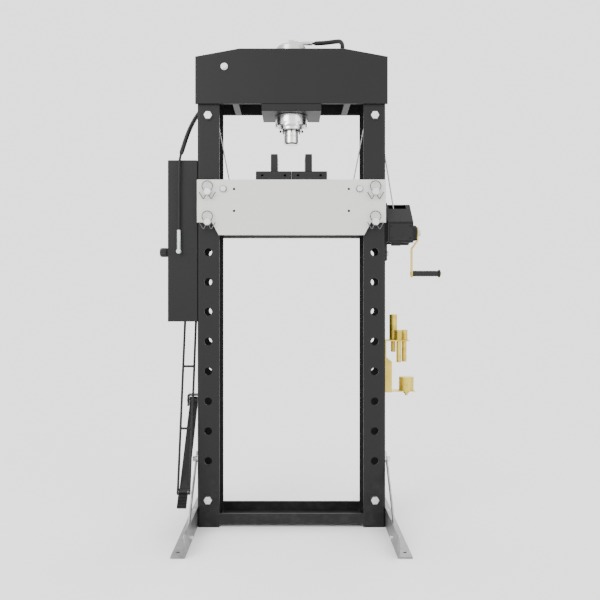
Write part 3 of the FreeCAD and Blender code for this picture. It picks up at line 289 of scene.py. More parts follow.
class Shader(Nodes):
    """One material's node tree, with a principled surface."""

    def __init__(self, name):
        self.material = bpy.data.materials.new(name)
        self.material.use_nodes = True
        super().__init__(self.material.node_tree)
        self.tree.nodes.clear()
        self.place = self.output("ShaderNodeTexCoord", "Object")

    def stretched(self, scale):
        """Object coordinates scaled unevenly, for lines along an axis."""
        return self.output("ShaderNodeMapping", "Vector", None, {"Vector": self.place, "Scale": scale})

    def noise(self, scale, detail=3.0, rough=0.5, where=None):
        return self.output("ShaderNodeTexNoise", "Fac", None, {
            "Vector": where or self.place, "Scale": scale, "Detail": detail, "Roughness": rough})

    def cells(self, scale):
        return self.output("ShaderNodeTexVoronoi", "Distance", None, {
            "Vector": self.place, "Scale": scale})

    def part(self, axis):
        """One coordinate of the shaded point, by its letter."""
        return self.output("ShaderNodeSeparateXYZ", axis, None, {0: self.place})

    def across(self):
        """Distance from the plane midway between front and back."""
        return self.size(self.part("Y"))

    def near_faces(self, face):
        """1 within a washer's thickness of the planes at depths of -face and face, else 0."""
        return 1 - self.between(self.size(self.across() - face), *WASHER_EDGE)

    def outside_pins(self):
        """1 further than a bed pin's radius from its axis, with the axes at (+-x, middle +- half pitch)."""
        aside = self.size(self.part("X")) - PIN_X
        above = self.size(self.part("Z") - PIN_MIDDLE) - PIN_HALF_PITCH
        reach = aside * aside + above * above
        return self.between(reach, *(edge ** 2 for edge in PIN_EDGE))

    def blend(self, factor, first, second):
        """A colour between two, by a factor: a colour mix takes inputs 6 and 7 and gives output 2."""
        def colour(value):
            return value if isinstance(value, Wire) else (*value, 1.0)
        return self.output("ShaderNodeMix", 2, {"data_type": "RGBA"}, {
            0: factor, 6: colour(first), 7: colour(second)})

    def bump(self, height, strength, depth):
        return self.output("ShaderNodeBump", "Normal", None, {
            "Height": height, "Strength": strength, "Distance": depth})

    def surface(self, **values):
        """Principled surface, with base_color for the socket Base Color and so on."""
        sockets = {}
        for name, value in values.items():
            sockets[name.replace("_", " ").title().replace("Ior", "IOR")] = value
        principled = self.output("ShaderNodeBsdfPrincipled", 0, None, sockets)
        self.node("ShaderNodeOutputMaterial", None, {0: principled})
        return self.material


def shade(colour, factor):
    """A colour made lighter or darker."""
    return tuple(min(1.0, channel * factor) for channel in colour[:3])


# ------------------------------------------------------------------ finishes
def powder_coat(name, colour, gloss=0.47):
    """Sprayed and baked powder: orange peel, cloudy gloss, pale dust low down and a few light scuffs."""
    shader = Shader(name)
    clouds = shader.noise(5.0, 4.0, 0.6)
    scuffs = shader.between(shader.noise(9.0, 9.0, 0.75, shader.stretched((1, 1, 3.5))), 0.665, 0.72)
    low_down = 1 - shader.between(shader.part("Z"), 0.0, 0.30)
    dust = low_down * shader.between(shader.noise(30.0, 6.0, 0.7), 0.40, 0.75)
    body = shader.blend(clouds, shade(colour, 0.88), shade(colour, 1.14))
    worn = shader.blend(scuffs * 0.28, body, shade(colour, 2.3))
    dusty = shader.blend(dust * 0.07, worn, (0.20, 0.19, 0.175))
    peel = shader.noise(420.0, 2.0, 0.5) + shader.cells(700.0) * 0.35
    rough = clouds * 0.14 + scuffs * 0.08 + dust * 0.1 + (gloss - 0.07)
    return shader.surface(base_color=dusty, roughness=rough, specular_ior_level=0.20,
                          normal=shader.bump(peel, 0.22, 0.0006))


def bed_coat(name, colour):
    """Satin grey paint, rolled smooth, with faint runs across and grubby patches by the pins."""
    shader = Shader(name)
    clouds = shader.noise(7.0, 5.0, 0.6)
    runs = shader.noise(6.0, 6.0, 0.6, shader.stretched((0.6, 1, 9)))
    grime = shader.between(shader.noise(14.0, 8.0, 0.72), 0.58, 0.74)
    body = shader.blend(clouds, shade(colour, 0.955), shade(colour, 1.035))
    soiled = shader.blend(grime * 0.22, body, shade(colour, 0.70))
    # Painted shade: faces nearer the middle than 0.08 m, between the two bed plates, turn near-black for the
    # shadowed inside of the bed.
    inside = 1 - shader.between(shader.across(), 0.0800, 0.0806)
    painted_inside_shade = shader.blend(inside, soiled, (0.045, 0.044, 0.042))
    peel = shader.noise(380.0, 2.0, 0.5) + runs * 0.6
    return shader.surface(base_color=painted_inside_shade, roughness=clouds * 0.12 + grime * 0.08 + inside * 0.2 + 0.36,
                          specular_ior_level=0.45, normal=shader.bump(peel, 0.16, 0.0006))


def plating(name, colour, second, third, roughness=0.30, metallic=0.94, spangle=46.0):
    """Electroplate: soft tints that drift over the piece, a fine satin grain and small dull spots."""
    shader = Shader(name)
    drift = shader.noise(16.0, 4.0, 0.55)
    patch = shader.between(shader.noise(27.0, 5.0, 0.6), 0.45, 0.66)
    grain = shader.noise(900.0, 2.0, 0.6)
    spots = shader.between(shader.cells(spangle), 0.08, 0.5)
    tinted = shader.blend(drift, colour, second)
    drifting = shader.blend(patch * 0.55, tinted, third)
    settled = shader.blend(spots * 0.25, shade(colour, 0.86), drifting)
    layered = shader.blend(0.72, settled, drifting)
    rough = drift * 0.16 + spots * 0.05 + roughness
    return shader.surface(base_color=layered, metallic=metallic, roughness=rough,
                          normal=shader.bump(grain, 0.10, 0.0004))


def bolted(name, colour, paint, face=0.0812):
    """Bright zinc bolts with a ring of painted shade: within a washer's thickness of the steel faces the washers
    take a dark colour, which stands for the shadow round each head.
    """
    shader = Shader(name)
    drift = shader.noise(30.0, 4.0, 0.55)
    plate = shader.blend(drift, shade(colour, 1.15), shade(colour, 1.6))
    shaded_ring = shader.near_faces(face)
    # Painted shade: the dark colour given as paint lies by the steel faces, as the dark ring round each bolt head.
    layered = shader.blend(shaded_ring, plate, paint)
    rough = drift * 0.14 + shaded_ring * 0.2 + 0.24
    return shader.surface(base_color=layered, metallic=(1 - shaded_ring) * 0.92, roughness=rough,
                          normal=shader.bump(shader.noise(700.0, 2.0, 0.6), 0.10, 0.0004))


def pinned(name, colour, wire):
    """Zinc bed pins with spring-wire clips whose darkness is painted shade for the dark shading on the coils: the
    wire is what lies outside the four pins' radius.
    """
    shader = Shader(name)
    drift = shader.noise(26.0, 4.0, 0.55)
    spring = shader.outside_pins()
    body = shader.blend(drift, shade(colour, 1.15), shade(colour, 1.6))
    # Painted shade: the clip wire, a real piece, takes a dark colour for the shading on its coils.
    layered = shader.blend(spring, body, wire)
    return shader.surface(base_color=layered, metallic=0.94, roughness=drift * 0.16 + spring * 0.06 + 0.24,
                          normal=shader.bump(shader.noise(800.0, 2.0, 0.6), 0.12, 0.0004))


def ground(name, colour, roughness=0.13, lines=(1.5, 1.5, 520.0)):
    """Turned and ground steel: hairlines round the piece and a thin film of oil in patches."""
    shader = Shader(name)
    hair = shader.noise(1.0, 3.0, 0.6, shader.stretched(lines))
    film = shader.noise(22.0, 5.0, 0.6)
    body = shader.blend(hair, shade(colour, 0.90), shade(colour, 1.06))
    oiled = shader.blend(shader.between(film, 0.52, 0.75) * 0.4, body, shade(colour, 0.78))
    return shader.surface(base_color=oiled, metallic=1.0, roughness=hair * 0.10 + film * 0.08 + roughness,
                          normal=shader.bump(hair, 0.12, 0.0003))


def blackened(name, colour):
    """Oil-blackened milled steel: cutter lines along the block and rubbed, brighter patches."""
    shader = Shader(name)
    cuts = shader.noise(1.0, 2.0, 0.6, shader.stretched((8, 340, 340)))
    rubbed = shader.between(shader.noise(20.0, 7.0, 0.7), 0.55, 0.75)
    body = shader.blend(cuts, shade(colour, 0.80), shade(colour, 1.25))
    worn = shader.blend(rubbed * 0.45, body, shade(colour, 2.6))
    return shader.surface(base_color=worn, metallic=0.55, roughness=cuts * 0.14 + rubbed * 0.05 + 0.33,
                          normal=shader.bump(cuts, 0.22, 0.0004))


def moulded(name, colour, roughness=0.55, grain=520.0, depth=0.0006):
    """Moulded rubber or plastic: an even grain and a slight bloom."""
    shader = Shader(name)
    bloom = shader.noise(18.0, 5.0, 0.6)
    texture = shader.noise(grain, 3.0, 0.6) + shader.cells(grain * 1.4) * 0.4
    body = shader.blend(shader.between(bloom, 0.4, 0.75) * 0.5, colour, shade(colour, 1.9))
    return shader.surface(base_color=body, roughness=bloom * 0.16 + roughness - 0.08,
                          specular_ior_level=0.26, normal=shader.bump(texture, 0.28, depth))


def stranded(name, colour):
    """Drawn wire: fine lines that follow no axis, darker where oil sits between the strands."""
    shader = Shader(name)
    wires = shader.noise(1300.0, 2.0, 0.6)
    oil = shader.noise(60.0, 4.0, 0.6)
    body = shader.blend(oil, shade(colour, 0.62), shade(colour, 1.05))
    return shader.surface(base_color=body, metallic=0.92, roughness=oil * 0.2 + 0.26,
                          normal=shader.bump(wires, 0.3, 0.0003))


# The bed pins' four axes, in metres, and the distances between which a mask in a material fades.
PIN_X = 0.321
PIN_MIDDLE = 1.2325
PIN_HALF_PITCH = 0.0575
PIN_EDGE = (0.0146, 0.0150)
WASHER_EDGE = (0.0017, 0.0020)
# Nodes whose finish isn't the one that their slot is named after.
SPECIAL = {"foot_left": "foot_zinc", "foot_right": "foot_zinc", "foot_braces": "brace_zinc",
           "bed_tie_bolts": "tie_zinc", "axle_bolts": "bolt_zinc", "frame_bolts": "bolt_zinc"}
FINISHES = {}


def build_finishes():
    """Makes one material for each of the record's slots, and the few that scene pieces need besides."""
    want = bpy.context.scene.press_finishes
    zinc = tuple(want.bright_zinc)
    gold = tuple(want.yellow_zinc)
    FINISHES.update(
        black_paint=powder_coat("powder_coat_black", want.powder_coat),
        bed_paint=bed_coat("bed_paint_grey", want.bed_paint),
        zinc=plating("bright_zinc", zinc, shade(zinc, 1.18), (0.55, 0.58, 0.63)),
        yellow_zinc=plating("yellow_zinc", gold, (0.66, 0.55, 0.12), (0.30, 0.19, 0.018), 0.28, 0.80),
        chrome=ground("ground_chrome", want.ground_steel),
        machined_steel=ground("machined_steel", shade(want.ground_steel, 0.78), 0.26,
                              (220.0, 220.0, 220.0)),
        dark_steel=blackened("blackened_steel", want.press_block),
        rope_steel=stranded("rope_steel", (0.46, 0.46, 0.45)),
        rubber=moulded("black_rubber", (0.0075, 0.0075, 0.0078), 0.55, 420.0, 0.0008),
        grip_plastic=moulded("black_plastic", (0.006, 0.006, 0.0062), 0.34, 700.0, 0.0004),
        # The washers' black and dark grey below are painted shade round the bolt and tie-bolt heads.
        bolt_zinc=bolted("bolt_zinc", zinc, want.powder_coat),
        tie_zinc=bolted("tie_zinc", zinc, (0.16, 0.16, 0.165), 0.0972),
        # The pins' dark clip-wire colour is painted shade.
        pin_zinc=pinned("pin_zinc", zinc, (0.10, 0.10, 0.105)),
        foot_zinc=plating("foot_zinc", shade(zinc, 0.36), shade(zinc, 0.66),
                          (0.13, 0.14, 0.14), 0.34, 0.90, 30.0),
        brace_zinc=plating("brace_zinc", shade(zinc, 0.55), shade(zinc, 1.2),
                           (0.12, 0.12, 0.125), 0.26, 0.95, 60.0),
    )


def finish_piece(piece, slot, body):
    """Gives a new piece the material of a slot and the body that it rides on."""
    piece.data.materials.append(FINISHES[slot])
    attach(piece, body)
    return piece


def middle(node):
    """The centre of a node's box."""
    low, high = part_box(node)
    return (np.array(low) + np.array(high)) / 2


# ------------------------------------------------------------------ pieces
class PRESS_OT_finish_steelwork(bpy.types.Operator):
    """Paint and plate every piece of the frame, bed, winch, pump and tools"""

    bl_idname = "press.finish_steelwork"
    bl_label = "Finish steelwork"

    def execute(self, context):
        build_finishes()
        slots = {part["node"]: part["material_slot"] for part in frame["record"]["subparts"]}
        for name, node in frame["nodes"].items():
            slot = slots[name]
            finish = SPECIAL.get(name, "pin_zinc" if name.startswith("bed_pin") else slot)
            for holder in node.material_slots:
                holder.material = FINISHES[finish]
        return {"FINISHED"}


# The hose's control points in metres, from the pump's fitting up behind the head to the cylinder's port.
HOSE_ROUTE = [
    (-0.432, -0.090, 1.144), (-0.432, -0.091, 1.232), (-0.4315, -0.093, 1.325), (-0.4305, -0.093, 1.412),
    (-0.420, -0.068, 1.462), (-0.409, -0.008, 1.537), (-0.397, 0.055, 1.596), (-0.377, 0.110, 1.652),
    (-0.330, 0.119, 1.715), (-0.245, 0.120, 1.760), (-0.150, 0.117, 1.776), (-0.050, 0.115, 1.773),
    (0.050, 0.115, 1.778), (0.135, 0.117, 1.802), (0.190, 0.118, 1.850), (0.211, 0.096, 1.896),
    (0.204, 0.046, 1.918), (0.170, 0.011, 1.903), (0.125, 0.001, 1.893), (0.082, 0.0, 1.892)]


def route_curve(name, points, radius):
    """A smooth line whose control points are the route's points."""
    curve = bpy.data.curves.new(name, "CURVE")
    curve.dimensions = "3D"
    spline = curve.splines.new("NURBS")
    spline.points.add(len(points) - 1)
    spline.points.foreach_set("co", np.hstack([points, np.ones((len(points), 1))]).ravel())
    spline.points.foreach_set("radius", np.full(len(points), radius))
    spline.order_u = 3
    spline.use_endpoint_u = True
    spline.resolution_u = 16
    curve.bevel_depth = 1  # the points' radius carries the size
    curve.bevel_resolution = 6
    curve.use_fill_caps = True
    piece = bpy.data.objects.new(name, curve)
    bpy.context.scene.collection.objects.link(piece)
    return piece


def centre_line(piece):
    """The points of a curve's own line, read with its bevel taken away for the moment."""
    depth = piece.data.bevel_depth
    piece.data.bevel_depth = 0
    bpy.context.view_layer.update()
    line = bpy.data.meshes.new_from_object(piece.evaluated_get(bpy.context.evaluated_depsgraph_get()))
    points = np.empty(len(line.vertices) * 3)
    line.vertices.foreach_get("co", points)
    bpy.data.meshes.remove(line)
    piece.data.bevel_depth = depth
    bpy.context.view_layer.update()
    return points.reshape(-1, 3)


class PRESS_OT_pressure_hose(bpy.types.Operator):
    """Run the pressure hose from the pump to the cylinder, with its thick sleeve"""

    bl_idname = "press.pressure_hose"
    bl_label = "Pressure hose"

    def execute(self, context):
        sizes = context.scene.press_sizes
        route = np.array(HOSE_ROUTE)
        hose = route_curve("pressure_hose_line", route, sizes.hose_diameter / 2)
        finish_piece(hose, "rubber", "frame")
        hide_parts("pressure_hose")
        step, sleeve_starts = 0.004, 1.437
        line = spaced(centre_line(hose), step)
        start = int(np.argmax(line[:, 2] > sleeve_starts))
        covered = line[start:-2]
        along = np.arange(len(covered)) * step
        ends = np.minimum(along, along[-1] - along)
        wide = sizes.sleeve_diameter / 2
        radii = wide - 0.0025 * np.exp(-ends / 0.003) + 0.00022 * np.sin(along * TURN / 0.008)
        rings = tube(covered, radii, 20)
        sleeve = finish_piece(make_piece("hose_sleeve_cover", [rings]), "rubber", "frame")
        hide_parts("hose_sleeve")
        return {"FINISHED"}


def circle_run(centre, radius, start, end, step=0.10):
    """Points on a circle of the centre plane from one angle to another, measured from +X towards +Z."""
    angle = np.linspace(start, end, max(3, int(abs(end - start) / step)))
    return np.stack([centre[0] + radius * np.cos(angle), np.zeros_like(angle),
                     centre[1] + radius * np.sin(angle)], axis=1)


# Sizes of the rope's way that its node boxes don't tell, in metres.
PULLEY_FLANGE = 0.0065
ROPE_PLAY = 0.0002
ROPE_BAR_X = 0.192
ROPE_BAR_RADIUS = 0.015
DRUM_ROPE_X = 0.412
DRUM_WRAP = 0.0249
ROPE_TAIL = 0.09
ROPE_STEP = 0.0032


def rope_route(rope_radius):
    """Drum, over the pulley, under both crossbars and up to the anchor: tangent runs between circles.

    A run that stays on one side of two circles leans by (r1 - r2) / distance, and one that changes sides by
    (r1 + r2) / distance, measured from square to the line of centres.
    """
    pulley = middle("rope_pulley")[[0, 2]]
    anchor = middle("rope_anchor")[[0, 2]]
    low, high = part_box("rope_pulley")
    grip = (high[2] - low[2]) / 2 - PULLEY_FLANGE + ROPE_PLAY + rope_radius
    bar = np.array([ROPE_BAR_X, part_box("bed_crossbars")[0][2] + ROPE_BAR_RADIUS])
    bar_grip = ROPE_BAR_RADIUS + ROPE_PLAY + rope_radius
    drum = np.array([DRUM_ROPE_X, middle("winch_drum")[2]])

    def heading(first, second):
        run = second - first
        return math.atan2(run[1], run[0]), float(np.hypot(*run))

    turn, span = heading(drum, pulley)
    outer = turn - math.pi / 2 + math.asin(grip / span)
    down, reach = heading(pulley, bar)
    inner = down - math.acos((grip + bar_grip) / reach)
    over = circle_run(pulley, grip, outer, inner % TURN if inner % TURN > outer else inner % TURN + TURN)
    under = circle_run(bar, bar_grip, inner + math.pi, -math.pi / 2)
    half = np.concatenate([over, under])
    mirrored = under[::-1] * [-1, 1, 1]
    left_inner = math.pi - inner
    end = circle_run(anchor, grip, left_inner % TURN, math.pi)
    tail = end[-1] - np.array([0, 0, ROPE_TAIL])
    return np.concatenate([[[drum[0], 0, drum[1]]], half, mirrored, end, [tail]])


class PRESS_OT_lift_rope(bpy.types.Operator):
    """Lay the wire rope over the pulley and under the bed, and its turns on the drum"""

    bl_idname = "press.lift_rope"
    bl_label = "Lift rope"

    def execute(self, context):
        sizes = context.scene.press_sizes
        radius = sizes.rope_diameter / 2
        path = spaced(rope_route(radius), ROPE_STEP)
        strand = radius * 0.40
        rings = [tube(path, np.full(len(path), strand), 6)]
        _, normals, binormals = steady_frames(path)
        twist = np.arange(len(path)) * ROPE_STEP * TURN / sizes.rope_lay
        for i in range(sizes.rope_strands):
            angle = (twist + i * TURN / sizes.rope_strands)[:, None]
            offset = (np.cos(angle) * normals + np.sin(angle) * binormals) * (radius - strand)
            rings.append(tube(path + offset, np.full(len(path), strand), 6))
        rope = finish_piece(make_piece("wire_rope", rings, 60), "rope_steel", "frame")
        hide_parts("lift_rope")
        self.add_ferrule(path, radius)
        self.add_turns(radius)
        return {"FINISHED"}

    def add_ferrule(self, path, radius):
        """A pressed ferrule near the rope's end, whose radius dips at each dent."""
        top = path[-12]
        steps = np.linspace(0, 1, 15)
        dents = 1.9 - 0.25 * np.cos(steps * TURN * 3) ** 2
        width = radius * dents * np.where(steps * (1 - steps) < 0.01, 0.8, 1)
        line = np.stack([np.full(15, top[0]), np.zeros(15), top[2] - 0.030 * steps], axis=1)
        finish_piece(make_piece("rope_ferrule", [tube(line, width, 20)]), "machined_steel", "frame")

    def add_turns(self, radius):
        """Rope turns side by side on the drum: a helix about the drum's axis."""
        low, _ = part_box("winch_drum")
        axis = middle("winch_drum")
        count = 9
        angle = np.linspace(0, TURN * count, 36 * count)
        start = low[0] + 0.014
        line = np.stack([start + angle / TURN * 2 * radius * 1.04, axis[1] + DRUM_WRAP * np.cos(angle),
                         axis[2] + DRUM_WRAP * np.sin(angle)], axis=1)
        turns = tube(line, np.full(len(line), radius), 8)
        finish_piece(make_piece("drum_rope_turns", [turns]), "rope_steel", "drum")


class PRESS_OT_release_knob(bpy.types.Operator):
    """Mould the fluted release knob on its valve stem"""

    bl_idname = "press.release_knob"
    bl_label = "Release knob"

    def execute(self, context):
        flutes = context.scene.press_sizes.knob_flutes
        low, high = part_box("release_knob")
        centre = middle("release_knob")
        radius = (high[2] - low[2]) / 2
        length = 0.038
        outer = low[0]
        profile = [(0.0066, 0.0)] + [(radius * share, distance) for share, distance in (
            (0.70, 0.0002), (0.80, 0.003), (0.86, 0.007), (0.97, 0.009), (1, 0.011), (1, 0.020),
            (1, 0.029), (0.975, 0.0325), (0.91, 0.0352), (0.80, 0.0370), (0.60, length),
            (0.52, length), (0.46, 0.0372), (0.2, 0.0370))]

        def flute(angle, rings):
            """A rounded scallop at each flute, fading to nothing at the ends of the knob."""
            distance, first, last, fade = rings[:, 1:], 0.007, 0.0365, 0.003
            rise = np.clip((distance - first) / fade, 0, 1)
            depth = 0.085 * rise * np.clip((last - distance) / fade, 0, 1)
            return 1 - depth * (0.5 + 0.5 * np.cos(angle * flutes)) ** 1.6

        place = np.array([outer + length, centre[1], centre[2]])
        knob = lathe(place, (-1, 0, 0), profile, flutes * 10, flute)
        stem_end = high[0]
        stem = lathe(np.array([stem_end, centre[1], centre[2]]), (-1, 0, 0),
                     [(0.0055, 0), (0.006, 0.001), (0.006, stem_end - outer - length + 0.004)], 32)
        piece = finish_piece(make_piece("fluted_knob", [knob]), "grip_plastic", "release_valve")
        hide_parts("release_knob")
        finish_piece(make_piece("knob_stem", [stem]), "machined_steel", "release_valve")
        return {"FINISHED"}


class PRESS_OT_pedal_tread(bpy.types.Operator):
    """Mould the ribbed rubber tread of the pedal"""

    bl_idname = "press.pedal_tread"
    bl_label = "Pedal tread"

    def execute(self, context):
        ribs = context.scene.press_sizes.tread_ribs
        joint = next(item for item in frame["joints"] if item["name"] == "pedal_press")
        swing = next(item for item in frame["joints"] if item["name"] == "link_swing")
        pivot, pin = np.array(joint["pos_m"]), np.array(swing["pos_m"])
        along = (pin - pivot) / np.linalg.norm(pin - pivot)
        up = np.cross(along, (1.0, 0, 0))
        reach = float(np.linalg.norm(pin - pivot))
        half, base, starts, length = 0.0168, 0.006, 0.0153, 0.0524
        steps = np.linspace(0, 1, ribs * 12)
        ribbed = 0.0138 + 0.0020 * np.clip(np.cos(steps * TURN * ribs) * 2.2, -1, 1)
        edge = np.clip(np.minimum(steps, 1 - steps) / 0.035, 0, 1)
        tall = base + (ribbed - base) * np.sqrt(edge * (2 - edge))
        distance = reach + starts + length * steps
        side = np.array([(-1, 0), (-1, 0.82), (-0.93, 0.96), (-0.8, 1), (-0.35, 1),
                         (0.35, 1), (0.8, 1), (0.93, 0.96), (1, 0.82), (1, 0)])
        lift = base + (tall[:, None] - base) * side[None, :, 1]
        rings = (pivot + along * distance[:, None, None] + up * lift[:, :, None]
                 + np.array([1.0, 0, 0]) * (side[:, 0] * half)[None, :, None])
        tread = finish_piece(make_piece("pedal_tread", [rings], 35), "rubber", "pedal")
        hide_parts("pedal_pad")
        return {"FINISHED"}


def bead(start, end, width, lean):
    """A weld bead between two points: a half-round run whose width swells at each ripple."""
    start, end = np.array(start, float), np.array(end, float)
    length = float(np.linalg.norm(end - start))
    count = max(8, int(length / 0.0007))
    steps = np.linspace(0, 1, count)
    line = start + (end - start) * steps[:, None]
    ripple = np.abs(np.sin(steps * length / 0.0042 * math.pi))
    taper = np.clip(np.minimum(steps, 1 - steps) * length / 0.004, 0.05, 1) ** 0.5
    radii = width / 2 * (0.86 + 0.14 * ripple) * taper
    return tube(line + np.array(lean) * width * 0.12, radii, 8)


class PRESS_OT_weld_beads(bpy.types.Operator):
    """Run the weld beads of the frame and brackets"""

    bl_idname = "press.weld_beads"
    bl_label = "Weld beads"

    def execute(self, context):
        width = context.scene.press_sizes.bead_width
        runs = [*self.channel_runs(), *self.head_runs(), *self.bracket_runs()]
        beads = [bead(start, end, width * share, lean) for start, end, share, lean in runs]
        finish_piece(make_piece("frame_welds", beads, 60), "black_paint", "frame")
        return {"FINISHED"}

    def channel_runs(self):
        """Up both flanges and along the web at each end of the bottom channel."""
        low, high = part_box("bottom_channel")
        inset, web = 0.004, low[2] + 0.0062
        for side, x in ((-1, low[0]), (1, high[0])):
            inner = x - side * 0.0005
            for y in (low[1] + inset, high[1] - inset):
                lean = (0, math.copysign(1, y), 0)
                yield (inner, y, low[2] + inset), (inner, y, high[2] - inset), 1, lean
            yield (inner, low[1] + 0.01, web), (inner, high[1] - 0.01, web), 1, (-side, 0, 1)

    def head_runs(self):
        """Up the edges of the head's spacers and cylinder block, against the front and rear plates."""
        low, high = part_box("head_spacers")
        block_low, block_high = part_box("cylinder_block")
        thick, slab_inset, slab_base = 0.024, 0.0195, 1.632
        for way in (-1, 1):
            lean = (0, -way, 0)
            y, slab_y = way * 0.0795, way * 0.0785
            for x in (low[0], low[0] + thick, high[0] - thick, high[0]):
                yield (x, y, low[2] + 0.006), (x, y, high[2] - 0.006), 1, lean
            for edge in (block_low[0], block_high[0]):
                x = edge - math.copysign(slab_inset, edge)
                yield (x, slab_y, slab_base), (x, slab_y, block_high[2] - 0.004), 1, lean

    def bracket_runs(self):
        """Along the pedal bracket's top and bottom edges, where it meets the upright."""
        low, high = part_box("pedal_bracket")
        wall = high[0] - 0.001
        for z in (low[2], high[2]):
            yield (wall, 0.022, z), (wall, 0.072, z), 0.9, (-1, 0, 0)


def hex_screw(centre, axis, flats, tall, washer, thick):
    """A hexagon head on a washer: six-sided rings with a chamfered crown, and a round plate under them."""
    corner = flats / math.sqrt(3)

    def hexagon(angle, rings):
        """Distance to a hexagon's side at each angle, as a share of its corner radius."""
        side = np.mod(angle, TURN / 6) - TURN / 12
        return np.ones((len(rings), 1)) * (math.cos(TURN / 12) / np.cos(side))[None, :]

    centre, axis = np.array(centre, float), np.array(axis, float)
    crown = [(corner, 0), (corner, tall * 0.84), (corner * 0.90, tall), (corner * 0.84, tall),
             (corner * 0.80, tall * 0.94)]
    rim, eased = washer * 0.97, 0.0003
    plate = [(rim, 0), (washer, eased), (washer, thick - eased), (rim, thick)]
    return [lathe(centre + axis * thick, axis, crown, 36, hexagon), lathe(centre, axis, plate, 36)]


class PRESS_OT_winch_screws(bpy.types.Operator):
    """Fit the hexagon screws that hold the winch plate and the punch rack to the upright"""

    bl_idname = "press.winch_screws"
    bl_label = "Winch and rack screws"

    def execute(self, context):
        low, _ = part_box("winch_housing")
        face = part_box("upright_right")[1][0] + 0.0087
        heads = []
        for y in (-0.036, 0.036):
            heads += hex_screw((face, y, low[2] + 0.028), (1, 0, 0), flats=0.016, tall=0.0065,
                               washer=0.0115, thick=0.0018)
        finish_piece(make_piece("winch_screws", heads), "zinc", "frame")
        rack_low, rack_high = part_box("punch_rack")
        rack_face = rack_low[0] + 0.004
        heads = []
        for z in (rack_high[2] - 0.055, rack_low[2] + 0.060):
            heads += hex_screw((rack_face, -0.004, z), (1, 0, 0), flats=0.013, tall=0.0053,
                               washer=0.010, thick=0.0016)
        finish_piece(make_piece("rack_screws", heads), "zinc", "frame")
        return {"FINISHED"}


def rounded_bar(start, end, across, half_wide, half_tall, corner, sides=32):
    """A bar with rounded edges: rings of |a/w|^n + |b/h|^n = 1 from start to end, the end rings drawn in.

    The ring at distance d from an end shrinks by corner - sqrt(corner^2 - (corner - d)^2), a quarter round.
    """
    start, end = np.array(start, float), np.array(end, float)
    length = float(np.linalg.norm(end - start))
    way = (end - start) / length
    across = np.array(across, float)
    other = np.cross(way, across)
    quarter = corner * (1 - np.cos(np.linspace(0, TURN / 4, 5)))
    place = np.concatenate([quarter, length - quarter[::-1]])
    nearest = np.minimum(place, length - place)
    inset = corner - np.sqrt(np.clip(corner ** 2 - (corner - nearest) ** 2, 0, None))
    angle = (np.arange(sides) + 0.5) * TURN / sides
    n = 7
    power = 2 / n
    a = np.sign(np.cos(angle)) * np.abs(np.cos(angle)) ** power
    b = np.sign(np.sin(angle)) * np.abs(np.sin(angle)) ** power
    rings = (start + way * place[:, None])[:, None, :]
    return (rings + across * ((half_wide - inset)[:, None] * a)[:, :, None]
            + other * ((half_tall - inset)[:, None] * b)[:, :, None])


class PRESS_OT_winch_trim(bpy.types.Operator):
    """Fit the winch's cover with its ridge, pawl blocks, vent and screws, and the drum shaft's cap"""

    bl_idname = "press.winch_trim"
    bl_label = "Winch trim"

    def execute(self, context):
        low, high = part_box("winch_housing")
        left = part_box("upright_right")[1][0] + 0.0095
        right, front, base = high[0], low[1], 1.100
        centre = (left + right) / 2
        upward, inward = (0, 0, 1), (0, 1, 0)

        def bar(start, end, y, z, across, half_wide, half_tall, corner):
            """A rounded bar along X, at one depth and height."""
            return rounded_bar((start, y, z), (end, y, z), across, half_wide, half_tall, corner)

        cover = [
            bar(left + 0.006, right - 0.004, front - 0.0012, base + 0.037, upward, 0.0335, 0.0022, 0.0016),
            bar(left + 0.002, right - 0.001, front - 0.0010, base + 0.076, upward, 0.0028, 0.0032, 0.0014),
            bar(left + 0.004, right - 0.001, front + 0.004, base - 0.0015, inward, 0.0060, 0.0026, 0.0014),
            bar(left + 0.016, left + 0.052, -0.058, base - 0.0065, inward, 0.0150, 0.0080, 0.0030),
            bar(left + 0.046, right - 0.010, -0.030, base - 0.0045, inward, 0.0110, 0.0060, 0.0030),
        ]
        finish_piece(make_piece("winch_cover", cover, 30), "black_paint", "frame")
        groove = bar(centre - 0.030, centre + 0.028, front - 0.0034, base + 0.010, upward,
                     0.0022, 0.0007, 0.0006)
        finish_piece(make_piece("winch_vent", [groove], 30), "rubber", "frame")
        dome = [(0.0105, 0), (0.0105, 0.0008), (0.0098, 0.0014), (0.0060, 0.0018), (0.0020, 0.0019)]
        cap = lathe((right - 0.0004, *middle("drum_shaft")[1:]), (1, 0, 0), dome, 40)
        finish_piece(make_piece("drum_shaft_cap", [cap]), "zinc", "frame")
        screw = [(0.0040, 0), (0.0040, 0.0012), (0.0034, 0.0021), (0.0018, 0.0024), (0.0016, 0.0014)]
        heads = [lathe((x, front - 0.0030, z), (0, -1, 0), screw, 24)
                 for x in (left + 0.013, right - 0.012) for z in (base + 0.014, base + 0.060)]
        finish_piece(make_piece("winch_cover_screws", heads), "black_paint", "frame")
        return {"FINISHED"}


